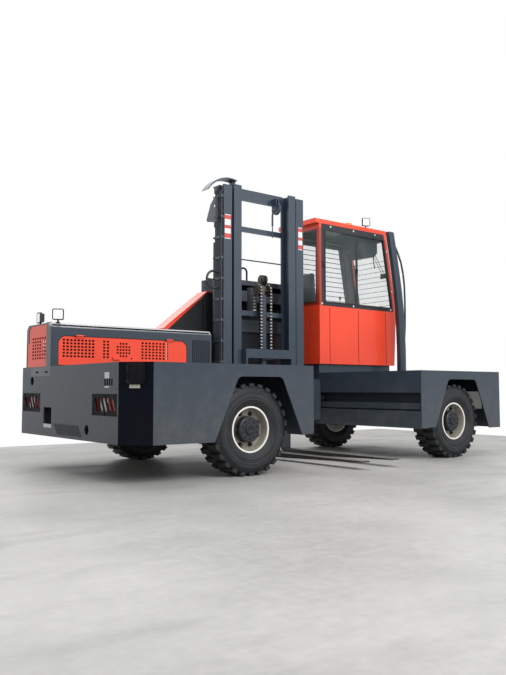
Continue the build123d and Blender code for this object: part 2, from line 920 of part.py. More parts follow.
# Cab roof
with BuildPart() as cab_roof:
    block(
        cab_rear_x - roof_overhang,
        cab_front_top + 20,
        cab_near_y,
        cab_far_y,
        cab_top,
        cab_top + roof_thick,
    )
    fillet(cab_roof.edges().filter_by(Axis.X).group_by(Axis.Z)[-1], 18)
write(cab_roof, "cab_roof")

# Overhead box inside, under the roof's front
box_x0 = cab_rear_x + 845
box_front = cab_front_at(cab_top) - cab_wall - 20
box_low = cab_top - 300
with BuildPart() as overhead_box:
    with BuildSketch(at_y(cab_near_y + 120)):
        with BuildLine():
            Polyline(
                (box_x0, cab_top),
                (box_front, cab_top),
                (box_front, box_low + 60),
                (box_front - 60, box_low),
                (box_x0 + 90, box_low - 30),
                (box_x0, box_low + 110),
                close=True,
            )
        make_face()
    extrude(amount=-300)
    fillet(overhead_box.edges().filter_by(Axis.Y).group_by(Axis.Z)[0], 25)
write(overhead_box, "overhead_box")

# Side glass: two sliding panes, a rear pane and a windscreen
with BuildPart() as cab_glass:
    for rear_low, front_low, rear_high, front_high, y in (
        (window_x0, meeting_x - meeting_width, window_x0, meeting_x - meeting_width, cab_near_y + 4),
        (
            meeting_x + meeting_width,
            cab_front_at(window_low) - window_edge,
            meeting_x + meeting_width,
            cab_front_at(window_high) - window_edge,
            cab_near_y + 14,
        ),
    ):
        with BuildSketch(at_y(y)):
            with BuildLine():
                Polyline(
                    (rear_low, window_low),
                    (rear_high, window_high),
                    (front_high, window_high),
                    (front_low, window_low),
                    close=True,
                )
            make_face()
        extrude(amount=-glass)
    block(
        cab_rear_x + 10,
        cab_rear_x + 10 + glass,
        cab_near_y + pillar,
        cab_far_y - pillar,
        window_low,
        window_high,
    )
    with BuildSketch(at_y(cab_near_y + pillar)):
        with BuildLine():
            Polyline(
                (cab_front_at(window_low) - 10, window_low),
                (cab_front_at(window_high) - 10, window_high),
                (cab_front_at(window_high) - 10 - glass, window_high),
                (cab_front_at(window_low) - 10 - glass, window_low),
                close=True,
            )
        make_face()
    extrude(amount=-(cab_far_y - cab_near_y - 2 * pillar))
write(cab_glass, "cab_glass")

# Door on the far side: lower panel with its hinges and a handle
handle_x = door_x0 + 90
handle_z = cab_sill - 90
with BuildPart() as cab_door:
    block(door_x0, door_x1, cab_far_y - cab_wall, cab_far_y, door_low, cab_sill)
    block(
        handle_x - 60, handle_x + 60, cab_far_y - 12, cab_far_y, handle_z - 35, handle_z + 35,
        mode=Mode.SUBTRACT,
    )
    block(handle_x - 60, handle_x + 60, cab_far_y - 6, cab_far_y, handle_z - 2, handle_z + 16)
    for z in door_hinges:
        tube_z(z - hinge_half, z + hinge_half, door_hinge_x, door_hinge_y, hinge_eye)
        block(door_x1 - 20, door_x1 - 4, cab_far_y - 5, door_hinge_y, z - hinge_half, z + hinge_half)
        tube_z(
            z - hinge_half,
            z + hinge_half,
            door_hinge_x,
            door_hinge_y,
            hinge_pin + running_gap,
            mode=Mode.SUBTRACT,
        )
write(cab_door, "cab_door")

# Door: dark upper frame, slanted in front, with guard bars across its pane
guard_bar_count = 12
door_window_high = door_high - door_stile
with BuildPart() as door_frame:
    with BuildSketch(at_y(cab_far_y - cab_wall)):
        with BuildLine():
            Polyline(
                (door_x0, cab_sill),
                (door_x0, door_high),
                (door_edge_at(door_high), door_high),
                (door_x1, cab_sill),
                close=True,
            )
        make_face()
        with BuildLine():
            Polyline(
                (door_x0 + door_stile, window_low),
                (door_x0 + door_stile, door_window_high),
                (door_edge_at(door_window_high) - door_stile, door_window_high),
                (door_edge_at(window_low) - door_stile, window_low),
                close=True,
            )
        make_face(mode=Mode.SUBTRACT)
    extrude(amount=-cab_wall)
    bar_pitch = (door_window_high - window_low) / (guard_bar_count + 1)
    for row in range(guard_bar_count):
        z = window_low + bar_pitch * (row + 1)
        bar_end = door_edge_at(z + 4) - door_stile + 2
        block(door_x0 + door_stile - 2, bar_end, cab_far_y - 10, cab_far_y - 2, z - 4, z + 4)
write(door_frame, "door_frame")

with BuildPart() as door_glass:
    with BuildSketch(at_y(cab_far_y - 20)):
        with BuildLine():
            Polyline(
                (door_x0 + door_stile, window_low),
                (door_x0 + door_stile, door_window_high),
                (door_edge_at(door_window_high) - door_stile, door_window_high),
                (door_edge_at(window_low) - door_stile, window_low),
                close=True,
            )
        make_face()
    extrude(amount=-glass)
write(door_glass, "door_glass")

# Seat, console and steering wheel
seat_x = cab_rear_x + 120
seat_y = (cab_near_y + cab_far_y) / 2
with BuildPart() as seat_base:
    block(seat_x, seat_x + 440, seat_y - 200, seat_y + 200, cab_floor + cab_wall, cab_floor + 380)
write(seat_base, "seat_base")

with BuildPart() as seat_pads:
    block(seat_x + 40, seat_x + 500, seat_y - 230, seat_y + 230, cab_floor + 380.3, cab_floor + 490)
    block(seat_x - 40, seat_x + 70, seat_y - 220, seat_y + 220, cab_floor + 490.3, cab_floor + 1120)
write(seat_pads, "seat_pads")

column_x = cab_front_low - 390
column_z = cab_floor + 660
with BuildPart() as dashboard:
    dash_low = cab_floor + 400
    block(cab_front_low - 330, cab_front_low - 60, cab_near_y + 60, cab_far_y - 60, dash_low, cab_sill - 40)
    block(cab_front_low - 250, cab_front_low - 120, seat_y - 80, seat_y + 80, cab_floor + cab_wall, dash_low)
    steer_plane = Plane(
        origin=(column_x, seat_y, column_z),
        x_dir=(0, 1, 0),
        z_dir=(-0.5, 0, 0.87),
    )
    with Locations(steer_plane.location):
        Torus(180, 14)
        Cylinder(30, 34)
        with PolarLocations(90, 3, start_angle=-90):
            Box(180, 26, 10)
    with Locations(steer_plane.offset(-140).location):
        Cylinder(24, 280)
write(dashboard, "dashboard")

# Curved guard post with its hand rail at the cab's near front corner
post_y = cab_near_y - 220
post_depth = 70
post_width = 145
post_top = cab_top + 100
post_middle = (cab_deck_height + post_top) / 2 + 210
rail_radius = 12
rail_bottom = cab_floor + 200
rail_top_end = cab_top - 250
hand_rail_y = post_y + post_depth / 2
with BuildPart() as guard_post:
    with BuildSketch(at_y(post_y)):
        with BuildLine():
            outer = ThreePointArc(
                (front_x - 30, cab_deck_height),
                (front_x - 85, post_middle),
                (front_x - 250, post_top),
            )
            inner = ThreePointArc(
                (front_x - 30 - post_width, cab_deck_height),
                (front_x - 75 - post_width, post_middle),
                (front_x - 240 - post_width, post_top),
            )
            Line(outer @ 0, inner @ 0)
            Line(outer @ 1, inner @ 1)
        make_face()
    extrude(amount=-post_depth)
    with BuildSketch(at_y(hand_rail_y - rail_radius)):
        with BuildLine():
            rail_out = ThreePointArc(
                (front_x - 60, rail_bottom),
                (front_x - 18, rail_bottom + 450),
                (front_x - 155, rail_top_end),
            )
            rail_in = ThreePointArc(
                (front_x - 60 - 2 * rail_radius, rail_bottom),
                (front_x - 18 - 2 * rail_radius, rail_bottom + 450),
                (front_x - 155 - 2 * rail_radius, rail_top_end),
            )
            Line(rail_out @ 0, rail_in @ 0)
            Line(rail_out @ 1, rail_in @ 1)
        make_face()
    extrude(amount=-2 * rail_radius)
write(guard_post, "guard_post")

# Beacon: a low dome on a foot ring
beacon_radius = 52
beacon_height = 46
with BuildPart() as beacon:
    beacon_x = cab_rear_x + 640
    beacon_low = cab_top + roof_thick
    tube_z(beacon_low, beacon_low + beacon_height, beacon_x, cab_near_y + 120, beacon_radius)
    fillet(beacon.edges().group_by(Axis.Z)[-1], 22)
    tube_z(cab_top + roof_thick, cab_top + roof_thick + 12, beacon_x, cab_near_y + 120, beacon_radius + 8)
write(beacon, "beacon")

# Work lamps on their brackets, one table row each: x, y, z of the foot, facing angle
lamp_size = 112
lamp_depth = 52
lamp_rim = 9
lamp_stem = 28
lamp_spots = (
    (rear_x + 97, hood_near_y + 50, hood_top, -118),
    (rear_x + 100, hood_far_y - 108, hood_top, 176),
    (cab_rear_x + 915, cab_near_y + 60, cab_top + roof_thick, -112),
)
with BuildPart() as work_lamps:
    for x, y, z, facing in lamp_spots:
        with Locations(Location((x, y, z), (0, 0, facing))):
            with Locations((0, 0, 4)):
                Box(50, 40, 8)
            with Locations((0, 0, lamp_stem / 2 + 4)):
                Cylinder(9, lamp_stem + 8)
            with Locations((-lamp_depth / 4, 0, lamp_stem + lamp_size / 2)):
                Box(lamp_depth / 2, lamp_size - 26, lamp_size - 26)
        lens_plane = Plane(
            origin=(x, y, z + lamp_stem + lamp_size / 2),
            x_dir=Vector(0, 1, 0).rotate(Axis.Z, facing),
            z_dir=Vector(1, 0, 0).rotate(Axis.Z, facing),
        )
        with BuildSketch(lens_plane):
            RectangleRounded(lamp_size, lamp_size, 16)
        extrude(amount=lamp_depth / 2)
        with BuildSketch(lens_plane.offset(lamp_depth / 2)):
            RectangleRounded(lamp_size - 2 * lamp_rim, lamp_size - 2 * lamp_rim, 10)
        extrude(amount=-8, mode=Mode.SUBTRACT)
write(work_lamps, "work_lamps")

# Lenses at the back of the guard boxes, red ones at the tail and clear ones at the nose
end_lens = 12
with BuildPart() as tail_lamps:
    for y in end_lamp_ys:
        block(
            rear_x + skin + guard_depth,
            rear_x + skin + guard_depth + end_lens,
            y - end_lamp_width / 2 - guard_lap,
            y + end_lamp_width / 2 + guard_lap,
            end_lamp_z - end_lamp_height / 2 - guard_lap,
            end_lamp_z + end_lamp_height / 2 + guard_lap,
        )
write(tail_lamps, "tail_lamps")

with BuildPart() as nose_lamps:
    for y in end_lamp_ys:
        block(
            front_x - skin - guard_depth - end_lens,
            front_x - skin - guard_depth,
            y - end_lamp_width / 2 - guard_lap,
            y + end_lamp_width / 2 + guard_lap,
            end_lamp_z - end_lamp_height / 2 - guard_lap,
            end_lamp_z + end_lamp_height / 2 + guard_lap,
        )
write(nose_lamps, "nose_lamps")

# Mast carriage: two side boxes with rollers on the traverse rails, and a beam behind the mast
carriage_y0 = mast_front_y - 20
carriage_y1 = spine_y - 20
carriage_low = 400
carriage_high = 900
side_gap = 15
roller_radius = 50
roller_width = 60
beam_depth = 80
pivot_y = mast_front_y + mast_depth + 55
pivot_z = 430
pivot_radius = 30
left_box = (well_rear_x + side_gap, mast_x - mast_half - side_clear)
right_box = (mast_x + mast_half + side_clear, well_front_x - side_gap)
rail_top = rail_z + rail_height / 2
with BuildPart() as reach_carriage:
    for x0, x1 in (left_box, right_box):
        block(x0, x1, carriage_y0, carriage_y1, carriage_low, carriage_high)
    block(left_box[1], right_box[0], carriage_y1 - beam_depth, carriage_y1, carriage_low, carriage_high - 150)
    for y in (carriage_y0 + 80, carriage_y1 - 80):
        roller_z = rail_top + roller_radius + running_gap
        outer_x = well_rear_x - rail_proud - 10
        tube_x(left_box[0], outer_x, y, roller_z, 20)
        tube_x(outer_x - roller_width, outer_x, y, roller_z, roller_radius)
        outer_x = well_front_x + rail_proud + 10
        tube_x(right_box[1], outer_x, y, roller_z, 20)
        tube_x(outer_x, outer_x + roller_width, y, roller_z, roller_radius)
    tube_x(left_box[1], left_box[1] + side_clear + 40, pivot_y, pivot_z, pivot_radius)
    tube_x(right_box[0] - side_clear - 40, right_box[0], pivot_y, pivot_z, pivot_radius)
write(reach_carriage, "reach_carriage")


def rail_section(x0, x1, y0, y1, z0, z1):
    """Upright of an I section: a web between two flanges across Y."""
    middle = (x0 + x1) / 2
    block(x0, x1, y0, y0 + flange, z0, z1)
    block(x0, x1, y1 - flange, y1, z0, z1)
    block(middle - web / 2, middle + web / 2, y0 + flange, y1 - flange, z0, z1)


# Outer mast: two uprights, cross members behind, pivot ears and the lift cylinder barrels
outer_y0 = mast_front_y + inner_forward
outer_y1 = mast_front_y + mast_depth
cross_depth = 40
barrel_radius = 38
barrel_bore = 24
barrel_low = 520
barrel_top = mast_top - 650
cross_spots = ((barrel_low, barrel_low + 160), (mast_top - 480, mast_top - 420), (mast_top - 80, mast_top))
lift_y = outer_y1 + cross_depth + barrel_radius - 4
lift_x = mast_half - rail_width / 2
rod_radius = 22
gland = 60
tie_z = mast_top - 820
with BuildPart() as outer_mast:
    for side in (-1, 1):
        edge = mast_x + side * mast_half
        inside = edge - side * rail_width
        rail_section(min(edge, inside), max(edge, inside), outer_y0, outer_y1, mast_bottom, mast_top)
        ear = edge - side * 40
        block(min(edge, ear), max(edge, ear), outer_y1, pivot_y, pivot_z - 60, pivot_z + 60)
        tube_x(min(edge, ear), max(edge, ear), pivot_y, pivot_z, 60)
        tube_z(barrel_low, barrel_top, mast_x + side * lift_x, lift_y, barrel_radius)
    for z0, z1 in cross_spots:
        block(mast_x - mast_half, mast_x + mast_half, outer_y1, outer_y1 + cross_depth, z0, z1)
    tube_x(mast_x - mast_half + 20, mast_x + mast_half - 20, outer_y1 + 7, tie_z, 8)
    for side in (-1, 1):
        x = mast_x + side * lift_x
        tube_z(barrel_low + 20, barrel_top - gland, x, lift_y, barrel_bore, mode=Mode.SUBTRACT)
        tube_z(barrel_top - gland, barrel_top, x, lift_y, rod_radius + running_gap, mode=Mode.SUBTRACT)
        for z0, z1 in cross_spots[1:]:
            tube_z(z0, z1, x, lift_y, rod_radius + 8, mode=Mode.SUBTRACT)
        edge = mast_x + side * mast_half
        ear = edge - side * 41
        bore_radius = pivot_radius + running_gap
        tube_x(min(edge, ear), max(edge, ear), pivot_y, pivot_z, bore_radius, mode=Mode.SUBTRACT)
write(outer_mast, "outer_mast")

# Inner mast: two uprights, cross members, top brackets over the lift rods, free lift barrel
inner_half = mast_half - rail_width - rail_gap
inner_y0 = mast_front_y
inner_y1 = outer_y1 - inner_forward
inner_bottom = mast_bottom + 20
inner_top = mast_top + 20
bracket_low = mast_top + 8
free_barrel_top = mast_top - 1250
free_stay = free_barrel_top - 250
free_radius = 45
free_bore = 31
free_rod_radius = 28
free_y = mast_front_y + 60
hose_arch_x0 = mast_x - mast_half - 215
hose_arch_x1 = mast_x - inner_half + inner_width / 2
hose_arch_y0 = mast_front_y + 20
hose_arch_y1 = mast_front_y + 150
hose_arch_sheet = 12
pulley_x = mast_x + 210
pulley_y = mast_front_y + 55
pulley_z = mast_top - 165
pulley_radius = 75
with BuildPart() as inner_mast:
    for side in (-1, 1):
        edge = mast_x + side * inner_half
        inside = edge - side * inner_width
        rail_section(min(edge, inside), max(edge, inside), inner_y0, inner_y1, inner_bottom, inner_top)
        reach = mast_x + side * (lift_x + rod_radius + 10)
        bracket_y1 = lift_y + rod_radius + 6
        block(min(inside, reach), max(inside, reach), inner_y1 - flange, bracket_y1, bracket_low, inner_top)
    low_cross = inner_bottom + 60
    for z0, z1 in ((low_cross, low_cross + 120), (free_stay, free_stay + 60), (inner_top - 135, inner_top)):
        block(
            mast_x - inner_half + inner_width,
            mast_x + inner_half - inner_width,
            inner_y1 - cross_depth,
            inner_y1,
            z0,
            z1,
        )
    tube_z(inner_bottom + 180, free_barrel_top, mast_x, free_y, free_radius)
    block(mast_x - 60, mast_x + 60, free_y - 50, inner_y1, inner_bottom + 60, inner_bottom + 180)
    block(mast_x - 30, mast_x + 30, free_y, inner_y1, free_stay, free_stay + 60)
    tube_z(inner_bottom + 200, free_barrel_top - gland, mast_x, free_y, free_bore, mode=Mode.SUBTRACT)
    tube_z(
        free_barrel_top - gland,
        free_barrel_top,
        mast_x,
        free_y,
        free_rod_radius + running_gap,
        mode=Mode.SUBTRACT,
    )
    with BuildSketch(at_y(hose_arch_y0)):
        with BuildLine():
            arch_over = ThreePointArc(
                (hose_arch_x0, inner_top - 115),
                (hose_arch_x0 + 120, inner_top + 10),
                (hose_arch_x1, inner_top + 55),
            )
            arch_under = ThreePointArc(
                (hose_arch_x0 + hose_arch_sheet, inner_top - 115),
                (hose_arch_x0 + 120 + hose_arch_sheet, inner_top + 10 - hose_arch_sheet),
                (hose_arch_x1, inner_top + 55 - hose_arch_sheet),
            )
            Line(arch_over @ 0, arch_under @ 0)
            Line(arch_over @ 1, arch_under @ 1)
        make_face()
    extrude(amount=hose_arch_y0 - hose_arch_y1)
    block(hose_arch_x1 - 40, hose_arch_x1, hose_arch_y0 + 30, hose_arch_y1 - 30, inner_top, inner_top + 50)
    tube_x(pulley_x - 13, pulley_x + 13, pulley_y, pulley_z, pulley_radius)
    tube_x(pulley_x - 21, pulley_x + 21, pulley_y, pulley_z, 14)
    for x in (pulley_x - 21, pulley_x + 13):
        block(x, x + 8, pulley_y - 24, inner_y1 - cross_depth, pulley_z - 24, inner_top - 60)
    tube_z(pulley_z - 345, pulley_z, pulley_x, pulley_y + pulley_radius, 7)
    tube_z(pulley_z - 200, pulley_z - 60, pulley_x, pulley_y + pulley_radius, 12)
write(inner_mast, "inner_mast")

with BuildPart() as lift_rods:
    for side in (-1, 1):
        tube_z(barrel_low + 40, bracket_low, mast_x + side * lift_x, lift_y, rod_radius)
write(lift_rods, "lift_rods")

# Free lift rod: crosshead with two chain sheaves and a pair of hose sheaves on a fork above
sheave_radius = 60
sheave_z = free_barrel_top + 60
sheave_spread = 74
hose_sheave_z = sheave_z + 128
hose_sheave_radius = 58
with BuildPart() as free_rod:
    tube_z(inner_bottom + 220, sheave_z, mast_x, free_y, free_rod_radius)
    tube_x(mast_x - sheave_spread - 20, mast_x + sheave_spread + 20, free_y, sheave_z, 25)
    for x in (mast_x - sheave_spread, mast_x + sheave_spread):
        tube_x(x - 12, x + 12, free_y, sheave_z, sheave_radius)
        for rim_x in (x - 15, x + 12):
            tube_x(rim_x, rim_x + 3, free_y, sheave_z, sheave_radius + 10)
    block(mast_x - 44, mast_x + 44, free_y - 20, free_y + 20, sheave_z - 10, sheave_z + 50)
    for x in (mast_x - 44, mast_x + 36):
        block(x, x + 8, free_y - 20, free_y + 20, sheave_z + 50, hose_sheave_z + 20)
    tube_x(mast_x - 44, mast_x + 44, free_y, hose_sheave_z, 12)
    for x in (mast_x - 18, mast_x + 18):
        tube_x(x - 12, x + 12, free_y, hose_sheave_z, hose_sheave_radius - 10)
        for rim_x in (x - 14, x + 10):
            tube_x(rim_x, rim_x + 4, free_y, hose_sheave_z, hose_sheave_radius)
write(free_rod, "free_rod")

# Lift chains from the sheaves down to the fork carriage
chain_thick = 14
chain_y0 = free_y - sheave_radius - running_gap - chain_thick
anchor_top = 1180
with BuildPart() as lift_chains:
    for x in (mast_x - sheave_spread, mast_x + sheave_spread):
        block(x - 12, x + 12, chain_y0, chain_y0 + chain_thick, anchor_top, sheave_z)
write(lift_chains, "lift_chains")

# Fork carriage: cross bars on two side plates whose rollers run in the inner mast
bar_y1 = mast_front_y - 30
bar_thick = 50
bar_y0 = bar_y1 - bar_thick
bar_spots = ((330, 430), (860, 960), (1140, 1245))
plate_low = 360
plate_top = bar_spots[-1][1]
plate_x = inner_half - inner_width - side_clear
plate_thick = 24
mast_roller = (inner_y1 - inner_y0) / 2 - flange - running_gap
with BuildPart() as fork_carriage:
    for z0, z1 in bar_spots:
        block(mast_x - carriage_width / 2, mast_x + carriage_width / 2, bar_y0, bar_y1, z0, z1)
    for side in (-1, 1):
        face = mast_x + side * plate_x
        back = face - side * plate_thick
        plate_y1 = inner_y1 - cross_depth - side_clear
        block(min(face, back), max(face, back), bar_y0, plate_y1, plate_low, plate_top)
        for z in (plate_low + 100, plate_top - 125):
            stub = face + side * (side_clear + 3)
            tip = stub + side * 40
            tube_x(min(face, stub), max(face, stub), (inner_y0 + inner_y1) / 2, z, 20)
            tube_x(min(stub, tip), max(stub, tip), (inner_y0 + inner_y1) / 2, z, mast_roller)
    block(mast_x - 90, mast_x + 90, bar_y1 - 10, chain_y0 + 6, plate_top - 120, anchor_top)
write(fork_carriage, "fork_carriage")

# Forks: bent blades hooked over the carriage bars
shank_top = 985
heel_radius = 70
tip_thick = 12
shank_y0 = bar_y0 - fork_thick
blade_top = fork_floor + fork_thick
blade_level = 500
tip_y = near_y - fork_overhang
with BuildPart() as forks:
    for side in (-1, 1):
        x = mast_x + side * fork_spacing / 2
        with BuildSketch(Plane.YZ.offset(x - fork_width / 2)):
            with BuildLine():
                Polyline(
                    (bar_y0, shank_top),
                    (shank_y0, shank_top),
                    (shank_y0, blade_top),
                    (tip_y, blade_top),
                    (tip_y, blade_top - tip_thick),
                    (shank_y0 - blade_level, fork_floor),
                    (bar_y0, fork_floor),
                    close=True,
                )
            shape = make_face()
            fillet(shape.vertices().sort_by_distance((bar_y0, fork_floor))[0], heel_radius)
        extrude(amount=fork_width)
write(forks, "forks")

# Hose bundle side by side up the outer mast's rear-facing side
hose_radius = 13.5
hose_count = 5
hose_pitch = 2 * hose_radius + running_gap
hose_x = mast_x - mast_half - hose_radius - running_gap
hose_y = (outer_y0 + outer_y1) / 2
hose_low = deck_height + 10
hose_top = mast_top - 60
clamp_count = 9
clamp_margin = 80
clamp_pitch = (hose_top - hose_low - 2 * clamp_margin) / (clamp_count - 1)
clamp_height = 26
clamp_sheet = 5
loop_z = hose_low + 1025
with BuildPart() as hose_bundle:
    for i in range(hose_count):
        y = hose_y + (i - (hose_count - 1) / 2) * hose_pitch
        tube_z(hose_low, hose_top, hose_x, y, hose_radius)
    with BuildLine() as loop_path:
        ThreePointArc(
            (hose_x, hose_y, loop_z + 75),
            (hose_x - 165, hose_y, loop_z),
            (hose_x, hose_y, loop_z - 75),
        )
    with BuildSketch(Plane(origin=loop_path.line @ 0, z_dir=loop_path.line % 0)):
        Circle(hose_radius)
    sweep(path=loop_path.line)
write(hose_bundle, "hose_bundle")

# Clamps that strap the hoses to the upright
clamp_x1 = hose_x - hose_radius - running_gap
clamp_x0 = clamp_x1 - clamp_sheet
clamp_y0 = hose_y - hose_count * hose_pitch / 2
clamp_y1 = hose_y + hose_count * hose_pitch / 2
with BuildPart() as hose_clamps:
    for i in range(clamp_count):
        z0 = hose_low + clamp_margin + i * clamp_pitch - clamp_height / 2
        z1 = z0 + clamp_height
        block(clamp_x0, clamp_x1, clamp_y0 - clamp_sheet, clamp_y1 + clamp_sheet, z0, z1)
        for y in (clamp_y0 - clamp_sheet, clamp_y1):
            block(clamp_x1, mast_x - mast_half, y, y + clamp_sheet, z0, z1)
    with BuildSketch(at_y(hose_y - 4)):
        with BuildLine():
            Polyline(
                (clamp_x0 + 2, hose_top - 75),
                (clamp_x0 - 40, hose_top - 85),
                (clamp_x0 - 98, hose_top - 190),
                (clamp_x0 - 152, hose_top - 378),
                (clamp_x0 - 140, hose_top - 400),
                (clamp_x0 + 2, hose_top - 385),
                close=True,
            )
        make_face()
        with BuildLine():
            Polyline(
                (clamp_x0 - 8, hose_top - 120),
                (clamp_x0 - 52, hose_top - 205),
                (clamp_x0 - 8, hose_top - 225),
                close=True,
            )
        make_face(mode=Mode.SUBTRACT)
    extrude(amount=-8)
write(hose_clamps, "hose_clamps")

# Axles
axle_radius = 70
spindle_radius = 40
spindle_length = 110
hub_bore_depth = 120
hub_face = 142
spindle_gap = tyre_width / 2 - hub_face
with BuildPart() as rear_axle:
    tube_y(
        near_wheel_y + hub_face + 8,
        far_wheel_y - hub_face - 8,
        rear_axle_x,
        axle_z,
        axle_radius,
    )
    tube_y(
        near_wheel_y + hub_face - spindle_length,
        far_wheel_y - hub_face + spindle_length,
        rear_axle_x,
        axle_z,
        spindle_radius,
    )
    for side in (-1, 1):
        y = mid_y + side * member_y
        block(rear_axle_x - 80, rear_axle_x + 80, y - 50, y + 50, axle_z, member_low)
write(rear_axle, "rear_axle")

kingpin_offset = 75
kingpin_near_y = near_wheel_y + tyre_width / 2 + kingpin_offset
kingpin_far_y = far_wheel_y - tyre_width / 2 - kingpin_offset
knuckle_radius = 50
knuckle_half = 70
fork_gap = 5
kingpin_radius = 18
yoke_thick = 35
with BuildPart() as front_axle:
    block(
        front_axle_x - 70,
        front_axle_x + 70,
        kingpin_near_y + 60,
        kingpin_far_y - 60,
        axle_z - 60,
        axle_z + 60,
    )
    for y, side in ((kingpin_near_y, 1), (kingpin_far_y, -1)):
        y_out = y - side * 45
        y_in = y + side * 90
        for z0 in (axle_z - knuckle_half - fork_gap - yoke_thick, axle_z + knuckle_half + fork_gap):
            block(
                front_axle_x - 50,
                front_axle_x + 50,
                min(y_out, y_in),
                max(y_out, y_in),
                z0,
                z0 + yoke_thick,
            )
        y_wall = y + side * 60
        block(
            front_axle_x - 60,
            front_axle_x + 60,
            min(y_wall, y_in),
            max(y_wall, y_in),
            axle_z - knuckle_half - fork_gap,
            axle_z + knuckle_half + fork_gap,
        )
        tube_z(
            axle_z - knuckle_half - fork_gap,
            axle_z + knuckle_half + fork_gap,
            front_axle_x,
            y,
            kingpin_radius,
        )
    for side in (-1, 1):
        y = mid_y + side * member_y
        block(front_axle_x - 80, front_axle_x + 80, y - 50, y + 50, axle_z + 60, member_low)
write(front_axle, "front_axle")

for name, y, side in (("near_knuckle", kingpin_near_y, 1), ("far_knuckle", kingpin_far_y, -1)):
    reach = kingpin_offset + spindle_gap
    with BuildPart() as knuckle:
        tube_z(axle_z - knuckle_half, axle_z + knuckle_half, front_axle_x, y, knuckle_radius)
        y_end = y - side * (reach - 8)
        tube_y(min(y, y_end), max(y, y_end), front_axle_x, axle_z, 60)
        y_tip = y - side * (reach + spindle_length)
        tube_y(min(y, y_tip), max(y, y_tip), front_axle_x, axle_z, spindle_radius)
        tube_z(
            axle_z - knuckle_half,
            axle_z + knuckle_half,
            front_axle_x,
            y,
            kingpin_radius + running_gap,
            mode=Mode.SUBTRACT,
        )
    write(knuckle, name)

# Wheels: tyre with two staggered rows of lugs, rim with a hollow hub
bead_radius = rim_diameter / 2
shoulder = 30
wheels = [
    ("rear_near", rear_axle_x, near_wheel_y, -1),
    ("rear_far", rear_axle_x, far_wheel_y, 1),
    ("front_near", front_axle_x, near_wheel_y, -1),
    ("front_far", front_axle_x, far_wheel_y, 1),
]
lug_width = 52
lug_sink = 10
for name, x, y, out in wheels:
    half = tyre_width / 2
    carcass = tyre_radius - lug_height
    lug_length = half - 15
    with BuildPart() as tyre:
        with BuildSketch(Plane.YZ.offset(x)):
            with BuildLine():
                Polyline(
                    (y - half + shoulder, axle_z + bead_radius),
                    (y - half, axle_z + bead_radius + 60),
                    (y - half, axle_z + carcass - 50),
                    (y - half + shoulder, axle_z + carcass),
                    (y + half - shoulder, axle_z + carcass),
                    (y + half, axle_z + carcass - 50),
                    (y + half, axle_z + bead_radius + 60),
                    (y + half - shoulder, axle_z + bead_radius),
                    close=True,
                )
            make_face()
        revolve(axis=Axis((x, y, axle_z), (0, 1, 0)))
        for row, shift in ((-1, 0), (1, 180 / lug_count)):
            with Locations(Location((x, y + row * lug_length / 2, axle_z), (90, 0, 0))):
                with PolarLocations(carcass + (lug_height - lug_sink) / 2, lug_count, start_angle=shift - 90):
                    Box(lug_height + lug_sink, lug_width, lug_length)
    write(tyre, f"{name}_tyre")

    with BuildPart() as rim:
        with BuildSketch(Plane.YZ.offset(x)):
            with BuildLine():
                Polyline(
                    (y - out * hub_face, axle_z),
                    (y - out * hub_face, axle_z + bead_radius),
                    (y + out * 120, axle_z + bead_radius),
                    (y + out * 120, axle_z + bead_radius - 14),
                    (y + out * 30, axle_z + bead_radius - 24),
                    (y + out * 30, axle_z + 120),
                    (y + out * 100, axle_z + 115),
                    (y + out * 108, axle_z + 105),
                    (y + out * 108, axle_z),
                    close=True,
                )
            make_face()
        revolve(axis=Axis((x, y, axle_z), (0, 1, 0)))
        bore_end = y - out * (hub_face - hub_bore_depth)
        bore_start = y - out * hub_face
        tube_y(
            min(bore_start, bore_end),
            max(bore_start, bore_end),
            x,
            axle_z,
            spindle_radius + running_gap,
            mode=Mode.SUBTRACT,
        )
    write(rim, f"{name}_rim")
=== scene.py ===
import json
import math

import bmesh
import bpy
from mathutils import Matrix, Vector


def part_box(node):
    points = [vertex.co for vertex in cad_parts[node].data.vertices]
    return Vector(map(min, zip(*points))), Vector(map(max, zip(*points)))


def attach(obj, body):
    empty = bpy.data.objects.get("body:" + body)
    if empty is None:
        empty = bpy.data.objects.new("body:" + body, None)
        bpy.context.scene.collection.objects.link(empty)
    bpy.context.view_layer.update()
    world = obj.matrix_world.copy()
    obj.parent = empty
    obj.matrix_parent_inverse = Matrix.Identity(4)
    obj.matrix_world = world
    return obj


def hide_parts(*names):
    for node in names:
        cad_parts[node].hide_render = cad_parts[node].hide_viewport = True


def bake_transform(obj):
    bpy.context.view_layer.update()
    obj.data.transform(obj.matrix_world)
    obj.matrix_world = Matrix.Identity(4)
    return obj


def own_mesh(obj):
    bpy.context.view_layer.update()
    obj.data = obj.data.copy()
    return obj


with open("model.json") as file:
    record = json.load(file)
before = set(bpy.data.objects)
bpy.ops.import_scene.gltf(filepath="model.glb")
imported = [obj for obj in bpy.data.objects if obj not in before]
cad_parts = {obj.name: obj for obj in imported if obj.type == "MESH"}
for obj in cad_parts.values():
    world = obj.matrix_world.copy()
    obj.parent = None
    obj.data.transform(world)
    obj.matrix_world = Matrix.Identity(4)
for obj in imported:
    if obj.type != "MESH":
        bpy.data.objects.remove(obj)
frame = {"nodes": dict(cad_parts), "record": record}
nodes = frame["nodes"]
scene = bpy.context.scene
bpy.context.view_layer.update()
print("frame loaded:", len(nodes), "nodes")


# colours and shader helpers


def srgb(red, green, blue):
    # screen colour 0-255 to the linear value that Blender works in
    def toLinear(level):
        level = level / 255
        return level / 12.92 if level <= 0.04045 else ((level + 0.055) / 1.055) ** 2.4
    return (toLinear(red), toLinear(green), toLinear(blue), 1.0)


def shade(colour, factor):
    return [min(1, channel * factor) for channel in colour[:3]] + [1]


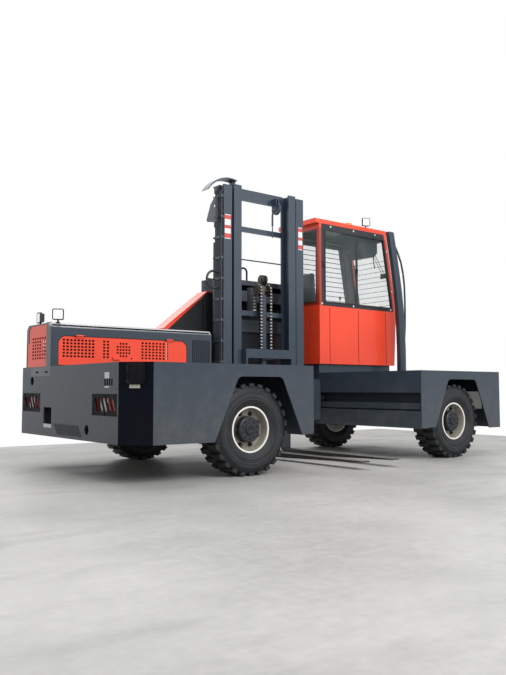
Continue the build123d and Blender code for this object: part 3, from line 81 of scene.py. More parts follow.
class Wire:
    # one output socket; arithmetic on it adds Math nodes
    def __init__(self, shader, socket):
        self.shader = shader
        self.socket = socket

    def math(self, operation, other=None, swap=False):
        values = [self] if other is None else ([other, self] if swap else [self, other])
        return self.shader.add("ShaderNodeMath", {"operation": operation}, dict(enumerate(values)))

    def __add__(self, other): return self.math("ADD", other)
    def __radd__(self, other): return self.math("ADD", other)
    def __sub__(self, other): return self.math("SUBTRACT", other)
    def __rsub__(self, other): return self.math("SUBTRACT", other, swap=True)
    def __mul__(self, other): return self.math("MULTIPLY", other)
    def __truediv__(self, other): return self.math("DIVIDE", other)
    def __pow__(self, other): return self.math("POWER", other)
    def __abs__(self): return self.math("ABSOLUTE")
    def __gt__(self, other): return self.math("GREATER_THAN", other)
    def __lt__(self, other): return self.math("LESS_THAN", other)


class Shader:
    # a material's node tree with one method that adds any node
    def __init__(self, name):
        self.material = bpy.data.materials.new(name)
        self.material.use_nodes = True
        self.tree = self.material.node_tree
        self.principled = self.tree.nodes["Principled BSDF"]
        self.place = self.add("ShaderNodeTexCoord", out="Object")

    def feed(self, socket, value):
        if isinstance(value, Wire):
            self.tree.links.new(value.socket, socket)
        else:
            socket.default_value = value

    def add(self, kind, settings=None, inputs=None, out=0):
        node = self.tree.nodes.new(kind)
        for key, value in (settings or {}).items():
            if key == "stops":
                ramp = node.color_ramp
                while len(ramp.elements) < len(value):
                    ramp.elements.new(0.5)
                for element, (position, colour) in zip(ramp.elements, value):
                    element.position = position
                    element.color = colour
            else:
                setattr(node, key, value)
        for key, value in (inputs or {}).items():
            self.feed(node.inputs[key], value)
        return Wire(self, node.outputs[out])

    def axes(self):
        split = self.add("ShaderNodeSeparateXYZ", inputs={0: self.place}).socket.node
        return [Wire(self, output) for output in split.outputs]

    def noise(self, scale, detail=3, rough=0.55, stretch=None):
        place = self.place
        if stretch:
            place = self.add("ShaderNodeMapping", inputs={"Vector": place, "Scale": stretch})
        inputs = {"Vector": place, "Scale": scale, "Detail": detail, "Roughness": rough}
        return self.add("ShaderNodeTexNoise", inputs=inputs)

    def ramp(self, value, stops):
        greys = [(position, (level, level, level, 1)) for position, level in stops]
        return self.add("ShaderNodeValToRGB", {"stops": greys}, {0: value})

    def rise(self, value, low, high):
        # 0 up to the low limit, 1 from the high one
        return self.ramp(value, [(low, 0.0), (high, 1.0)])

    def between(self, value, low, high):
        # 1 where the value lies between the two limits, else 0
        return (value > low) * (value < high)

    def mix(self, factor, first, second):
        inputs = {0: factor, 6: first, 7: second}
        return self.add("ShaderNodeMix", {"data_type": "RGBA"}, inputs, out=2)

    def bump(self, height, distance, strength=1.0, normal=None):
        inputs = {"Height": height, "Distance": distance, "Strength": strength}
        if normal:
            inputs["Normal"] = normal
        return self.add("ShaderNodeBump", inputs=inputs)

    def surface(self, **sockets):
        for key, value in sockets.items():
            self.feed(self.principled.inputs[key.replace("_", " ")], value)
        return self.material


roadDust = srgb(128, 126, 120)


def sheetPaint(shader, colour, gloss, dustTop, dustAmount=1.0, coat=0.2, zones=None, mirror=0.3):
    # sprayed sheet metal: orange peel, slight tone drift, road dust that fades upwards
    height = shader.axes()[2]
    drift = shader.rise(shader.noise(1.3, 4), 0.3, 0.7)
    body = shader.mix(drift, shade(colour, 0.92), shade(colour, 1.1))
    if zones:
        body = zones(shader, body)
    low = (1 - height / dustTop).math("MAXIMUM", 0.0)
    grime = shader.rise(shader.noise(7, 6, 0.68), 0.45, 0.78)
    streaks = shader.rise(shader.noise(11, 4, 0.6, (2.4, 2.4, 0.35)), 0.5, 0.85)
    dust = (low * 0.16 + grime * (low * 0.22 + 0.02) + streaks * 0.035) * dustAmount
    scuff = shader.rise(shader.noise(34, 5, 0.7, (1, 1, 3)), 0.66, 0.72)
    wave = shader.bump(shader.noise(3.5, 2), 0.003, 0.1)
    return shader.surface(
        Base_Color=shader.mix(dust, body, roadDust),
        Roughness=gloss + dust * 0.6 + scuff * 0.1,
        Normal=shader.bump(shader.noise(420, 2), 0.0002, 0.3, wave),
        Specular_IOR_Level=mirror,
        Coat_Weight=coat,
        Coat_Roughness=0.1,
    )


cabZones = {
    "groovesX": (1.215, 1.735, 2.269), "grooveHalf": 0.0054, "grooveY": 0.5262, "grooveTop": 1.821,
    # painted shade and dirt in the grooves, dark red
    "grooveDirtAndShade": srgb(84, 18, 12), "grooveShare": 0.72,
    "pillarX": 1.101, "pillarZ": (1.848, 2.84), "pillarShade": srgb(78, 18, 24), "pillarShare": 0.6,
    # the room inside, whose faces take painted shade: its back, its sides, its top, and its front
    # that leans in from the sill
    "insideX": 1.0696, "insideY": (0.5496, 1.2284), "insideTop": 2.9004,
    "sillZ": 1.84, "frontSill": 2.4504, "frontSlope": 0.1745, "frontFoot": 0.061,
    # painted shade, dark grey, on the walls' inner faces and under the roof
    "insideShade": srgb(44, 46, 50),
}


def cabInside(shader, body):
    # painted shade on the walls' inner faces and under the roof, painted shade and dirt in the
    # three grooves, shade on the rear pillar
    x, y, z = shader.axes()
    over = (z - cabZones["sillZ"]).math("MAXIMUM", 0.0)
    under = (cabZones["sillZ"] - z).math("MAXIMUM", 0.0)
    front = cabZones["frontSill"] - over * cabZones["frontSlope"] - under * cabZones["frontFoot"]
    # where the painted shade inside the cab goes
    insideShade = (x > cabZones["insideX"]) * (front - x > 0.0) * (z < cabZones["insideTop"])
    insideShade = insideShade * shader.between(y, *cabZones["insideY"])
    groove = 0.0
    for grooveX in cabZones["groovesX"]:
        groove = (abs(x - grooveX) < cabZones["grooveHalf"]) + groove
    groove = groove * (y < cabZones["grooveY"]) * (z < cabZones["grooveTop"])
    body = shader.mix(groove * cabZones["grooveShare"], body, cabZones["grooveDirtAndShade"])
    pillar = (x < cabZones["pillarX"]) * shader.between(z, *cabZones["pillarZ"])
    body = shader.mix(pillar * cabZones["pillarShare"], body, cabZones["pillarShade"])
    return shader.mix(insideShade, body, cabZones["insideShade"])


def tinted(boxes, ink, share):
    # a zone that tints what lies in any of the boxes, each with its limits along some axes
    def zone(shader, body):
        axes = dict(zip("xyz", shader.axes()))
        mark = 0.0
        for box in boxes:
            inside = 1.0
            for axis, limits in box.items():
                inside = shader.between(axes[axis], *limits) * inside
            mark = inside + mark
        return shader.mix(mark * share, body, ink)
    return zone


tailFace = (-3.0, -2.4846)
tailPlates = tinted([
    # blank label plates on the tail's outer face
    {"x": tailFace, "y": (-0.693, -0.607), "z": (0.868, 0.919)},
    {"x": tailFace, "y": (-0.693, -0.607), "z": (0.790, 0.803)},
    {"x": tailFace, "y": (0.512, 0.700), "z": (0.408, 0.443)},
    {"x": tailFace, "y": (0.995, 1.036), "z": (0.918, 0.938)},
], srgb(222, 222, 220), 0.9)
cornerPlate = tinted([{"x": (-2.4226, -2.3616), "z": (0.786, 0.814)}], srgb(206, 206, 196), 0.9)
# painted shade, near black, on the rack's parts deeper than its front
rackInnerShade = tinted([{"y": (0.905, 1.2)}], srgb(17, 20, 30), 0.92)
clearLenses = tinted([{"y": (-0.612, -0.477)}, {"y": (1.017, 1.152)}], srgb(226, 222, 218), 1.0)
# painted highlight along the hood's rounded near shoulder
hoodShoulder = {
    "start": 1.384, "end": 1.412, "nearY": 0.606, "fadeY": 0.622,
    "highlight": srgb(214, 213, 216), "share": 0.85,
}


def hoodPaintedHighlight(shader, body):
    # painted highlight: the rounded near shoulder is painted pale
    y, z = shader.axes()[1:]
    rise = (z - hoodShoulder["start"]) / (hoodShoulder["end"] - hoodShoulder["start"])
    fade = (hoodShoulder["fadeY"] - y) / (hoodShoulder["fadeY"] - hoodShoulder["nearY"])
    share = shader.rise(rise, 0.0, 1.0) * shader.rise(fade, 0.0, 1.0) * hoodShoulder["share"]
    return shader.mix(share, body, hoodShoulder["highlight"])


def castBlack(shader, colour, rough, mirror=0.4):
    # powder coat or cast iron with a fine grain and a little dust
    tone = shader.rise(shader.noise(5, 4), 0.3, 0.7)
    dust = shader.rise(shader.noise(13, 6, 0.7), 0.5, 0.85)
    body = shader.mix(tone, shade(colour, 0.8), shade(colour, 1.25))
    return shader.surface(
        Base_Color=shader.mix(dust * 0.12, body, roadDust),
        Roughness=rough + tone * 0.1,
        Normal=shader.bump(shader.noise(260, 4), 0.0004, 0.5),
        Specular_IOR_Level=mirror,
    )


wheelPlaces = {"middleX": 0.245, "halfBase": 1.47, "axleZ": 0.415}


def wheelRadius(shader):
    # distance from the axle of the wheel that a point belongs to
    x, z = shader.axes()[::2]
    along = abs(x - wheelPlaces["middleX"]) - wheelPlaces["halfBase"]
    up = z - wheelPlaces["axleZ"]
    return (along * along + up * up) ** 0.5


tyreLook = {"rubber": srgb(21, 24, 29), "dust": srgb(104, 101, 96), "ringsPerMetre": 310.0}


def tyreRubber(shader):
    # moulded sidewall: rings about the wheel's centre, dust in the grooves, worn lug faces
    radius = wheelRadius(shader)
    diameter = radius * 2.0
    rings = (radius * tyreLook["ringsPerMetre"]).math("SINE")
    band = shader.ramp(diameter, [(0.47, 0.0), (0.5, 1.0), (0.58, 1.0), (0.61, 0.0)])
    ridge = shader.ramp(diameter, [(0.6, 0.0), (0.607, 1.0), (0.62, 1.0), (0.627, 0.0)])
    relief = rings * band * 0.5 + ridge * 1.2 + shader.noise(180, 3) * 0.3
    dust = shader.ramp(shader.noise(14, 6, 0.7), [(0.45, 0.0), (0.8, 0.55)])
    tread = shader.rise(diameter, 0.79, 0.815)
    worn = dust * 0.36 + tread * 0.08 + ridge * 0.16
    return shader.surface(
        Base_Color=shader.mix(worn, tyreLook["rubber"], tyreLook["dust"]),
        Roughness=0.6 + dust * 0.2,
        Normal=shader.bump(relief, 0.0025, 0.8),
        Specular_IOR_Level=0.4,
    )


rimLook = {
    "stone": srgb(158, 154, 142),
    "dirtAndShade": srgb(92, 88, 80),
    "lip": srgb(236, 234, 228),
    "hub": srgb(24, 29, 38),
}


def rimPaint(shader):
    # stone coloured disc with a bright outer lip and a dark hub, with dust and with painted shade
    # on the disc next to the hub
    span = wheelRadius(shader) * 4.0
    hub = shader.ramp(span, [(0.472, 1.0), (0.48, 0.0)])
    lip = shader.rise(span, 0.772, 0.78)
    dust = shader.rise(shader.noise(18, 6, 0.7), 0.4, 0.8)
    # painted shade on the disc, strongest next to the hub
    hubShade = shader.ramp(span, [(0.48, 1.0), (0.56, 0.0)])
    disc = shader.mix(dust * 0.6 + hubShade * 0.5, rimLook["stone"], rimLook["dirtAndShade"])
    return shader.surface(
        Base_Color=shader.mix(hub, shader.mix(lip, disc, rimLook["lip"]), rimLook["hub"]),
        Roughness=0.42 + dust * 0.2,
        Normal=shader.bump(shader.noise(300, 2), 0.0002, 0.4),
    )


def steel(shader, colour, rough, streak, metallic=0.9):
    # bare metal with grinding or sliding marks
    lines = shader.noise(40, 4, 0.6, streak)
    stain = shader.rise(shader.noise(6, 5), 0.4, 0.75)
    return shader.surface(
        Base_Color=shader.mix(stain * 0.5, colour, shade(colour, 0.45)),
        Metallic=metallic - stain * 0.25,
        Roughness=rough + stain * 0.2 + lines * 0.1,
        Normal=shader.bump(lines, 0.0003, 0.4),
    )


chainLook = {"pitch": 0.01905, "bright": srgb(214, 212, 204), "dark": srgb(26, 27, 32)}


def greasedChain(shader):
    # leaf chain: the worn edge of each second link is bright, grease sits between them
    z = shader.axes()[2]
    link = (z * (math.pi / chainLook["pitch"])).math("SINE")
    worn = shader.rise(link * 0.5 + 0.5, 0.52, 0.7)
    grease = shader.rise(shader.noise(60, 4), 0.4, 0.8)
    return shader.surface(
        Base_Color=shader.mix(worn - worn * grease * 0.4, chainLook["dark"], chainLook["bright"]),
        Metallic=0.35,
        Roughness=0.4 + grease * 0.2,
        Normal=shader.bump(grease, 0.0003, 0.4),
    )


rodHead = {
    "glandZ": 1.885,
    "chrome": srgb(214, 214, 216),
    "cast": srgb(92, 88, 78),
    "oil": srgb(40, 39, 38),
}


def rodSteel(shader):
    # chromed rod below, oiled cast sheaves with worn rims above the gland
    head = shader.axes()[2] > rodHead["glandZ"]
    grease = shader.rise(shader.noise(22, 5), 0.35, 0.7)
    cast = shader.mix(grease, rodHead["cast"], rodHead["oil"])
    return shader.surface(
        Base_Color=shader.mix(head, rodHead["chrome"], cast),
        Metallic=0.9 - head * 0.25,
        Roughness=0.1 + head * 0.3 + grease * 0.12,
        Normal=shader.bump(shader.noise(160, 3), 0.0003, 0.3),
    )


def glassPane(shader, tint, alpha):
    # clear sheet with faint smears
    smear = shader.rise(shader.noise(4, 5), 0.4, 0.8)
    return shader.surface(
        Base_Color=tint,
        Roughness=0.03 + smear * 0.04,
        Alpha=smear * 0.03 + alpha,
        IOR=1.5,
    )


forkLook = {
    "topZ": 0.0846,
    "flankShare": 0.9,
    "dull": srgb(104, 102, 98),
    "bright": srgb(158, 155, 149),
    "shadedFlank": srgb(30, 31, 35),
    "heel": srgb(48, 52, 58),
}


def forkSteel(shader):
    # blade worn bright on top; flanks near black, partly the steel's own dark and partly painted
    # shade; dark paint left at the heel
    y, z = shader.axes()[1:]
    wear = shader.noise(24, 5, 0.65, (4, 0.6, 1))
    heel = shader.rise(y + 0.5 + wear * 0.25, 0.72, 0.86)
    scuffed = shader.rise(wear, 0.38, 0.68)
    blade = shader.mix(scuffed, forkLook["dull"], forkLook["bright"])
    # painted shade with the steel's own dark on the flanks and underside below the top
    shadedFlank = (z < forkLook["topZ"]) * forkLook["flankShare"]
    blade = shader.mix(shadedFlank, blade, forkLook["shadedFlank"])
    return shader.surface(
        Base_Color=shader.mix(heel, blade, forkLook["heel"]),
        Metallic=0.45 - heel * 0.4,
        Roughness=0.4 + wear * 0.25,
        Normal=shader.bump(wear, 0.0006, 0.4),
    )


def vinyl(shader, colour, weave=420.0):
    # grained trim or upholstery
    inputs = {"Vector": shader.place, "Scale": weave}
    cells = shader.add("ShaderNodeTexVoronoi", {"feature": "DISTANCE_TO_EDGE"}, inputs)
    grain = cells.math("MINIMUM", 0.12)
    tone = shader.noise(7, 3)
    return shader.surface(
        Base_Color=shader.mix(tone, shade(colour, 0.8), shade(colour, 1.3)),
        Roughness=0.5 + tone * 0.12,
        Normal=shader.bump(grain, 0.0008, 0.5),
        Specular_IOR_Level=0.4,
    )


def lensPlastic(shader, colour, glow=0.0, zones=None):
    # ribbed translucent lens
    y, z = shader.axes()[1:]
    ribs = ((y + z) * 420.0).math("SINE")
    tone = shader.noise(20, 2)
    body = shader.mix(tone, shade(colour, 0.85), shade(colour, 1.15))
    if zones:
        body = zones(shader, body)
    return shader.surface(
        Base_Color=body,
        Roughness=0.16 + tone * 0.05,
        Normal=shader.bump(ribs, 0.0006, 0.4),
        Emission_Color=body,
        Emission_Strength=glow,
        Coat_Weight=0.5,
    )


labelLook = {"white": srgb(232, 230, 226), "red": srgb(206, 62, 58), "grime": srgb(120, 116, 110)}


def bandedLabel(shader, low, high, bands):
    # blank white label with plain red bands; bands are shares of its height
    share = (shader.axes()[2] - low) / (high - low)
    red = 0.0
    for start, stop in bands:
        red = shader.between(share, start, stop) + red
    grime = shader.rise(shader.noise(26, 5), 0.5, 0.85)
    ink = shader.mix(red, labelLook["white"], labelLook["red"])
    return shader.surface(
        Base_Color=shader.mix(grime * 0.25, ink, labelLook["grime"]),
        Roughness=0.35 + grime * 0.2,
        Normal=shader.bump(shader.noise(90, 3), 0.0002, 0.3),
    )


# materials of the slots

frameGrey = srgb(44, 55, 68)
orangeRed = srgb(246, 74, 44)
recipes = {
    # sheet paint: colour, gloss, dust's top, dust's amount, coat, zones, mirror
    "frame_paint": (sheetPaint, frameGrey, 0.4, 1.1, 1.3, 0.12),
    "tail_paint": (sheetPaint, frameGrey, 0.4, 1.1, 1.3, 0.12, tailPlates),
    "corner_paint": (sheetPaint, srgb(4, 7, 20), 0.5, 1.0, 0.1, 0.0, cornerPlate, 0.08),
    "hood_paint": (sheetPaint, frameGrey, 0.34, 1.1, 0.8, 0.3, hoodPaintedHighlight),
    "rack_paint": (sheetPaint, srgb(66, 72, 80), 0.5, 1.1, 1.2, 0.0, rackInnerShade),
    "mast_paint": (sheetPaint, srgb(48, 60, 74), 0.38, 1.3, 1.0, 0.12),
    "orange_paint": (sheetPaint, orangeRed, 0.36, 1.3, 0.5, 0.25),
    "cab_orange": (sheetPaint, orangeRed, 0.36, 1.3, 0.4, 0.25, cabInside),
    "clamp_paint": (sheetPaint, srgb(74, 80, 88), 0.42, 1.3, 0.6, 0.1),
    # cast black: colour, roughness, mirror
    "cab_trim": (castBlack, srgb(27, 29, 34), 0.42),
    "black_steel": (castBlack, srgb(25, 27, 32), 0.55),
    "guard_black": (castBlack, srgb(7, 8, 12), 0.6, 0.15),
    "engine_iron": (castBlack, srgb(44, 44, 45), 0.7),
    "hose_rubber": (castBlack, srgb(42, 46, 56), 0.46),
    "lamp_housing": (castBlack, srgb(26, 27, 31), 0.4),
    # steel: colour, roughness, stretch of the marks, metallic
    "rod_chrome": (steel, srgb(222, 222, 224), 0.08, (1, 1, 0.05)),
    "zinc": (steel, srgb(226, 226, 224), 0.3, (1, 1, 1), 0.55),
    "rod_head": (rodSteel,),
    "chain_steel": (greasedChain,),
    "fork_steel": (forkSteel,),
    "tyre_rubber": (tyreRubber,),
    "rim_paint": (rimPaint,),
    "clear_glass": (glassPane, srgb(150, 166, 166), 0.08),
    "seat_vinyl": (vinyl, srgb(66, 69, 73), 300.0),
    "dash_plastic": (vinyl, srgb(34, 36, 40)),
    # lenses: colour, glow, zones
    "beacon_plastic": (lensPlastic, srgb(250, 124, 30), 0.2),
    "tail_lens": (lensPlastic, srgb(176, 30, 30), 0.12, clearLenses),
    "nose_lens": (lensPlastic, srgb(226, 226, 220), 0.1),
    "lamp_glass": (lensPlastic, srgb(236, 236, 234), 0.35),
}
paint = {name: maker(Shader(name), *values) for name, (maker, *values) in recipes.items()}
ownPaint = {
    "cab_shell": "cab_orange",
    "cab_frame": "cab_orange",
    "cab_roof": "cab_orange",
    "cab_door": "cab_orange",
    "free_rod": "rod_head",
    "hose_clamps": "clamp_paint",
    "lamp_guards": "guard_black",
    "corner_box": "guard_black",
    "hood_shell": "hood_paint",
    "rack": "rack_paint",
    "tail_plate": "tail_paint",
}

for entry in frame["record"]["subparts"]:
    mesh = nodes[entry["node"]].data
    mesh.materials.clear()
    mesh.materials.append(paint[ownPaint.get(entry["node"], entry["material_slot"])])
print("materials set:", len(paint))


# modelling helpers

modelSet = {
    "bevelAngle": 40,
    "smoothAngle": 35,
    "facing": 0.9,  # how nearly a face has to look along a direction
    "near": 0.0005,
    "rodEdge": 0.3,
    # a bolt's parts as shares of its head's radius or of its whole height
    "washerRadius": 1.35,
    "washerHeight": 0.2,
    "headHeight": 0.7,
    "headRim": 0.14,
    "headDome": 0.1,
}


def chooseOnly(piece):
    bpy.ops.object.select_all(action="DESELECT")
    piece.select_set(True)
    bpy.context.view_layer.objects.active = piece


def settle(piece):
    # turns the object's place, turn and size into its mesh
    chooseOnly(piece)
    bpy.ops.object.transform_apply(location=True, rotation=True, scale=True)


def turnTo(facing, axis="Z"):
    # the turn that points an object's axis along a direction
    return Vector(facing).to_track_quat(axis, "Y").to_euler()


def started(name, addPrimitive, **settings):
    bpy.ops.object.select_all(action="DESELECT")
    addPrimitive(**settings)
    piece = bpy.context.active_object
    piece.name = name
    return piece


def startBlock(name, low, high):
    piece = started(name, bpy.ops.mesh.primitive_cube_add, size=1)
    piece.scale = [b - a for a, b in zip(low, high)]
    piece.location = [(a + b) / 2 for a, b in zip(low, high)]
    settle(piece)
    return piece


def startRound(name, middle, radius, depth, facing=(0, 0, 1), sides=24):
    addRound = bpy.ops.mesh.primitive_cylinder_add
    piece = started(name, addRound, vertices=sides, radius=radius, depth=depth, location=middle)
    piece.rotation_euler = turnTo(facing)
    settle(piece)
    return piece


def startPlate(name, corners):
    # a flat face on four corners, given in order round its edge
    piece = started(name, bpy.ops.mesh.primitive_plane_add, size=1)
    for index, corner in zip((0, 1, 3, 2), corners):
        piece.data.vertices[index].co = corner
    piece.data.update()
    return piece


def startEdit(piece, kind):
    # edit mode with nothing chosen, and the mesh to choose in
    bpy.context.view_layer.objects.active = piece
    bpy.ops.object.mode_set(mode="EDIT")
    bpy.ops.mesh.select_mode(type=kind)
    bpy.ops.mesh.select_all(action="DESELECT")
    return bmesh.from_edit_mesh(piece.data)


def stopEdit():
    bpy.ops.object.mode_set(mode="OBJECT")


def pickFaces(piece, test):
    # chooses the faces whose middle and normal pass the test
    shape = startEdit(piece, "FACE")
    for face in shape.faces:
        face.select_set(bool(test(face.calc_center_median(), face.normal)))
    bmesh.update_edit_mesh(piece.data)


def pickFacing(piece, facing):
    direction = Vector(facing)
    pickFaces(piece, lambda middle, normal: normal.dot(direction) > modelSet["facing"])


def pickPoints(piece, test):
    shape = startEdit(piece, "VERT")
    for point in shape.verts:
        point.select_set(bool(test(point.co)))
    shape.select_flush_mode()
    bmesh.update_edit_mesh(piece.data)


def inset(thickness, depth=0.0):
    bpy.ops.mesh.inset(thickness=thickness, depth=depth, use_even_offset=True)


def push(step):
    bpy.ops.mesh.extrude_region_move(TRANSFORM_OT_translate={"value": step})


def pressRims(piece, facing, *rims):
    # insets the faces on one side, once for each (width, depth)
    pickFacing(piece, facing)
    for rim in rims:
        inset(*rim)
    stopEdit()


def soften(piece, width, segments=2):
    # rounds the sharp edges with a bevel that is applied at once
    chooseOnly(piece)
    edge = piece.modifiers.new("edge", "BEVEL")
    edge.width = width
    edge.segments = segments
    edge.limit_method = "ANGLE"
    edge.angle_limit = math.radians(modelSet["bevelAngle"])
    bpy.ops.object.modifier_apply(modifier="edge")


def copyOf(source, spot, turn):
    copy = source.copy()
    copy.data = source.data.copy()
    scene.collection.objects.link(copy)
    copy.location = spot
    copy.rotation_euler = turn
    return copy


def joined(name, parts):
    # several loose parts become one piece with its place in its mesh
    bpy.ops.object.select_all(action="DESELECT")
    for part in parts:
        part.select_set(True)
    bpy.context.view_layer.objects.active = parts[0]
    bpy.ops.object.transform_apply(location=True, rotation=True, scale=True)
    if len(parts) > 1:
        bpy.ops.object.join()
    piece = bpy.context.active_object
    piece.name = name
    return piece


def finished(piece, body, slotName, material=None, smooth=True):
    # last step of every piece: normals, shading, material (picked by slot name unless one is given)
    # and body
    # a blended piece has no body
    chooseOnly(piece)
    startEdit(piece, "FACE")
    bpy.ops.mesh.select_all(action="SELECT")
    bpy.ops.mesh.normals_make_consistent(inside=False)
    stopEdit()
    if smooth:
        bpy.ops.object.shade_smooth_by_angle(angle=math.radians(modelSet["smoothAngle"]))
    piece.data.materials.clear()
    piece.data.materials.append(material or paint[slotName])
    if body:
        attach(piece, body)
    return piece


def boltSource(radius, height):
    # hexagon head on a flat washer, standing up along +Z from the origin
    washerHigh, headHigh = height * modelSet["washerHeight"], height * modelSet["headHeight"]
    washerRadius = radius * modelSet["washerRadius"]
    washer = startRound("washer", (0, 0, washerHigh / 2), washerRadius, washerHigh, sides=14)
    head = startRound("head", (0, 0, washerHigh + headHigh / 2), radius, headHigh, sides=6)
    pressRims(head, (0, 0, 1), (radius * modelSet["headRim"], height * modelSet["headDome"]))
    return joined("bolt", [washer, head])


def boltsAt(name, size, spots):
    # one bolt of (radius, height) for each place and facing, joined
    source = boltSource(*size)
    bolts = joined(name, [copyOf(source, spot, turnTo(facing)) for spot, facing in spots])
    bpy.data.objects.remove(source)
    return bolts


def rod(name, start, end, radius, sides=14):
    # straight bar between two points, its ends rounded off
    start, end = Vector(start), Vector(end)
    length = (end - start).length
    piece = startRound(name, (start + end) / 2, radius, length, end - start, sides)
    soften(piece, radius * modelSet["rodEdge"], 1)
    return piece


# seat: two swollen pads and an armrest

seatPlan = {
    "cushion": ((1.214, 0.676, 1.490), (1.646, 1.102, 1.572)),
    "back": ((1.136, 0.690, 1.604), (1.212, 1.090, 2.310)),
    "topTaper": (0.8, 0.56, 1), "edge": 0.03, "voxel": 0.006,
    "pressure": 4.0, "frames": 20, "cap": 0.014,
    "cushionSeams": (0.796, 0.982), "backSeams": (1.80, 1.96, 2.12),
    "seamDepth": 0.006, "seamWidth": 0.009,
    "seamSide": 0.3,  # seams run where the surface looks this far towards the sitter
}


def swollenPad(name, low, high, narrowTop=False):
    # rounded block, remeshed and blown up a little by cloth pressure
    pad = startBlock(name, low, high)
    if narrowTop:
        middle = ((low[0] + high[0]) / 2, (low[1] + high[1]) / 2, high[2])
        pickPoints(pad, lambda co: co.z > high[2] - modelSet["near"])
        bpy.ops.transform.resize(value=seatPlan["topTaper"], center_override=middle)
        stopEdit()
    soften(pad, seatPlan["edge"], 4)
    pad.data.remesh_voxel_size = seatPlan["voxel"]
    bpy.ops.object.voxel_remesh()
    before = [vertex.co.copy() for vertex in pad.data.vertices]
    swell = pad.modifiers.new("swell", "CLOTH")
    swell.settings.use_pressure = True
    swell.settings.uniform_pressure_force = seatPlan["pressure"]
    swell.settings.effector_weights.gravity = 0
    for step in range(1, seatPlan["frames"] + 1):
        scene.frame_set(step)
    bpy.ops.object.modifier_apply(modifier="swell")
    for vertex, start in zip(pad.data.vertices, before):
        move = vertex.co - start
        if move.length > seatPlan["cap"]:
            vertex.co = start + move.normalized() * seatPlan["cap"]
    scene.frame_set(1)
    return pad


def sewSeams(pad, axis, places, side):
    # presses narrow channels across one side of the pad where it is sewn
    pad.data.update()
    pressed = []
    for vertex in pad.data.vertices:
        if vertex.normal[side] > seatPlan["seamSide"]:
            depth = 0
            for seam in places:
                away = (vertex.co[axis] - seam) / seatPlan["seamWidth"]
                depth += seatPlan["seamDepth"] * math.exp(-away * away)
            pressed.append((vertex, vertex.normal * depth))
    for vertex, sink in pressed:
        vertex.co -= sink


cushion = swollenPad("seat_cushion", *seatPlan["cushion"])
sewSeams(cushion, 1, seatPlan["cushionSeams"], 2)
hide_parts("seat_pads")
finished(cushion, "chassis", "seat_vinyl")
backrest = swollenPad("seat_back", *seatPlan["back"], narrowTop=True)
sewSeams(backrest, 2, seatPlan["backSeams"], 0)
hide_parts("seat_pads")
finished(backrest, "chassis", "seat_vinyl")

armPlan = {
    "low": (1.240, 0.604, 1.860), "high": (1.560, 0.660, 1.905),
    "nose": (0.03, 0, -0.012), "edge": 0.014,
    "bracket": ((1.170, 0.700, 1.800), (1.330, 0.632, 1.870)), "bracketRadius": 0.014,
    "stem": ((1.500, 0.632, 1.895), (1.512, 0.632, 1.975)), "stemRadius": 0.005,
    "knob": (0.014, 0.034), "knobRim": (0.004, 0.004), "knobEdge": 0.004,
}
arm = startBlock("arm", armPlan["low"], armPlan["high"])
pickFacing(arm, (1, 0, 0))
push(armPlan["nose"])
stopEdit()
soften(arm, armPlan["edge"], 3)
bracket = rod("bracket", *armPlan["bracket"], armPlan["bracketRadius"])
stem = rod("stem", *armPlan["stem"], armPlan["stemRadius"])
knob = startRound("knob", armPlan["stem"][1], *armPlan["knob"])
pressRims(knob, (0, 0, 1), armPlan["knobRim"])
soften(knob, armPlan["knobEdge"])
finished(joined("seat_armrest", [arm, bracket, stem, knob]), "chassis", "dash_plastic")
print("seat done")


# leaf chains from the fork carriage over the sheaves

chainPlan = {
    "xs": (0.091, 0.239), "middleX": 0.165, "y": 0.5127, "low": 1.181, "foot": 0.007,
    "sheaveY": 0.580, "sheaveZ": 1.960, "plate": (0.0068, 0.0026), "waist": 0.74,
    "pin": (0.0032, 0.0246), "pinRim": (0.001, 0.0006),
    "even": (-0.0095, -0.0032, 0.0032, 0.0095), "odd": (-0.0063, 0.0, 0.0063),
    "keep": 0.0385, "anchorZ": 1.722, "anchorLow": 1.7102, "anchorHigh": 1.734,
    "clevisHalf": (0.017, 0.012), "clevisRim": (0.005, 0.004), "clevisEdge": 0.002,
}
pitch = chainLook["pitch"]


def linkSource():
    # one waisted chain plate of one pitch, flat across X, its lower pin at the origin
    middle = pitch / 2
    plate = startRound("plate", (0, 0, 0), *chainPlan["plate"], (1, 0, 0), 12)
    pickPoints(plate, lambda co: co.z > modelSet["near"])
    bpy.ops.transform.translate(value=(0, 0, pitch))
    bpy.ops.mesh.select_all(action="SELECT")
    bpy.ops.mesh.bisect(plane_co=(0, 0, middle), plane_no=(0, 0, 1))
    stopEdit()
    pickPoints(plate, lambda co: abs(co.z - middle) < modelSet["near"])
    waist = (1, chainPlan["waist"], 1)
    bpy.ops.transform.resize(value=waist, center_override=(0, 0, middle))
    stopEdit()
    return plate


plateLink = linkSource()
pinLink = startRound("pin", (0, 0, 0), *chainPlan["pin"], (1, 0, 0), 8)
pickFaces(pinLink, lambda middle, normal: abs(normal.x) > modelSet["facing"])
inset(*chainPlan["pinRim"])
stopEdit()


def chainRun(route, x):
    # links along a list of (place, angle about X); even ones take the outer plates, odd ones
    # the inner plates
    parts = []
    for index, (spot, angle) in enumerate(route):
        offsets = chainPlan["even"] if index % 2 == 0 else chainPlan["odd"]
        for source, shifts in ((plateLink, offsets), (pinLink, (0.0,))):
            for shift in shifts:
                parts.append(copyOf(source, (x + shift, *spot), (angle, 0, 0)))
    return joined("run", parts)


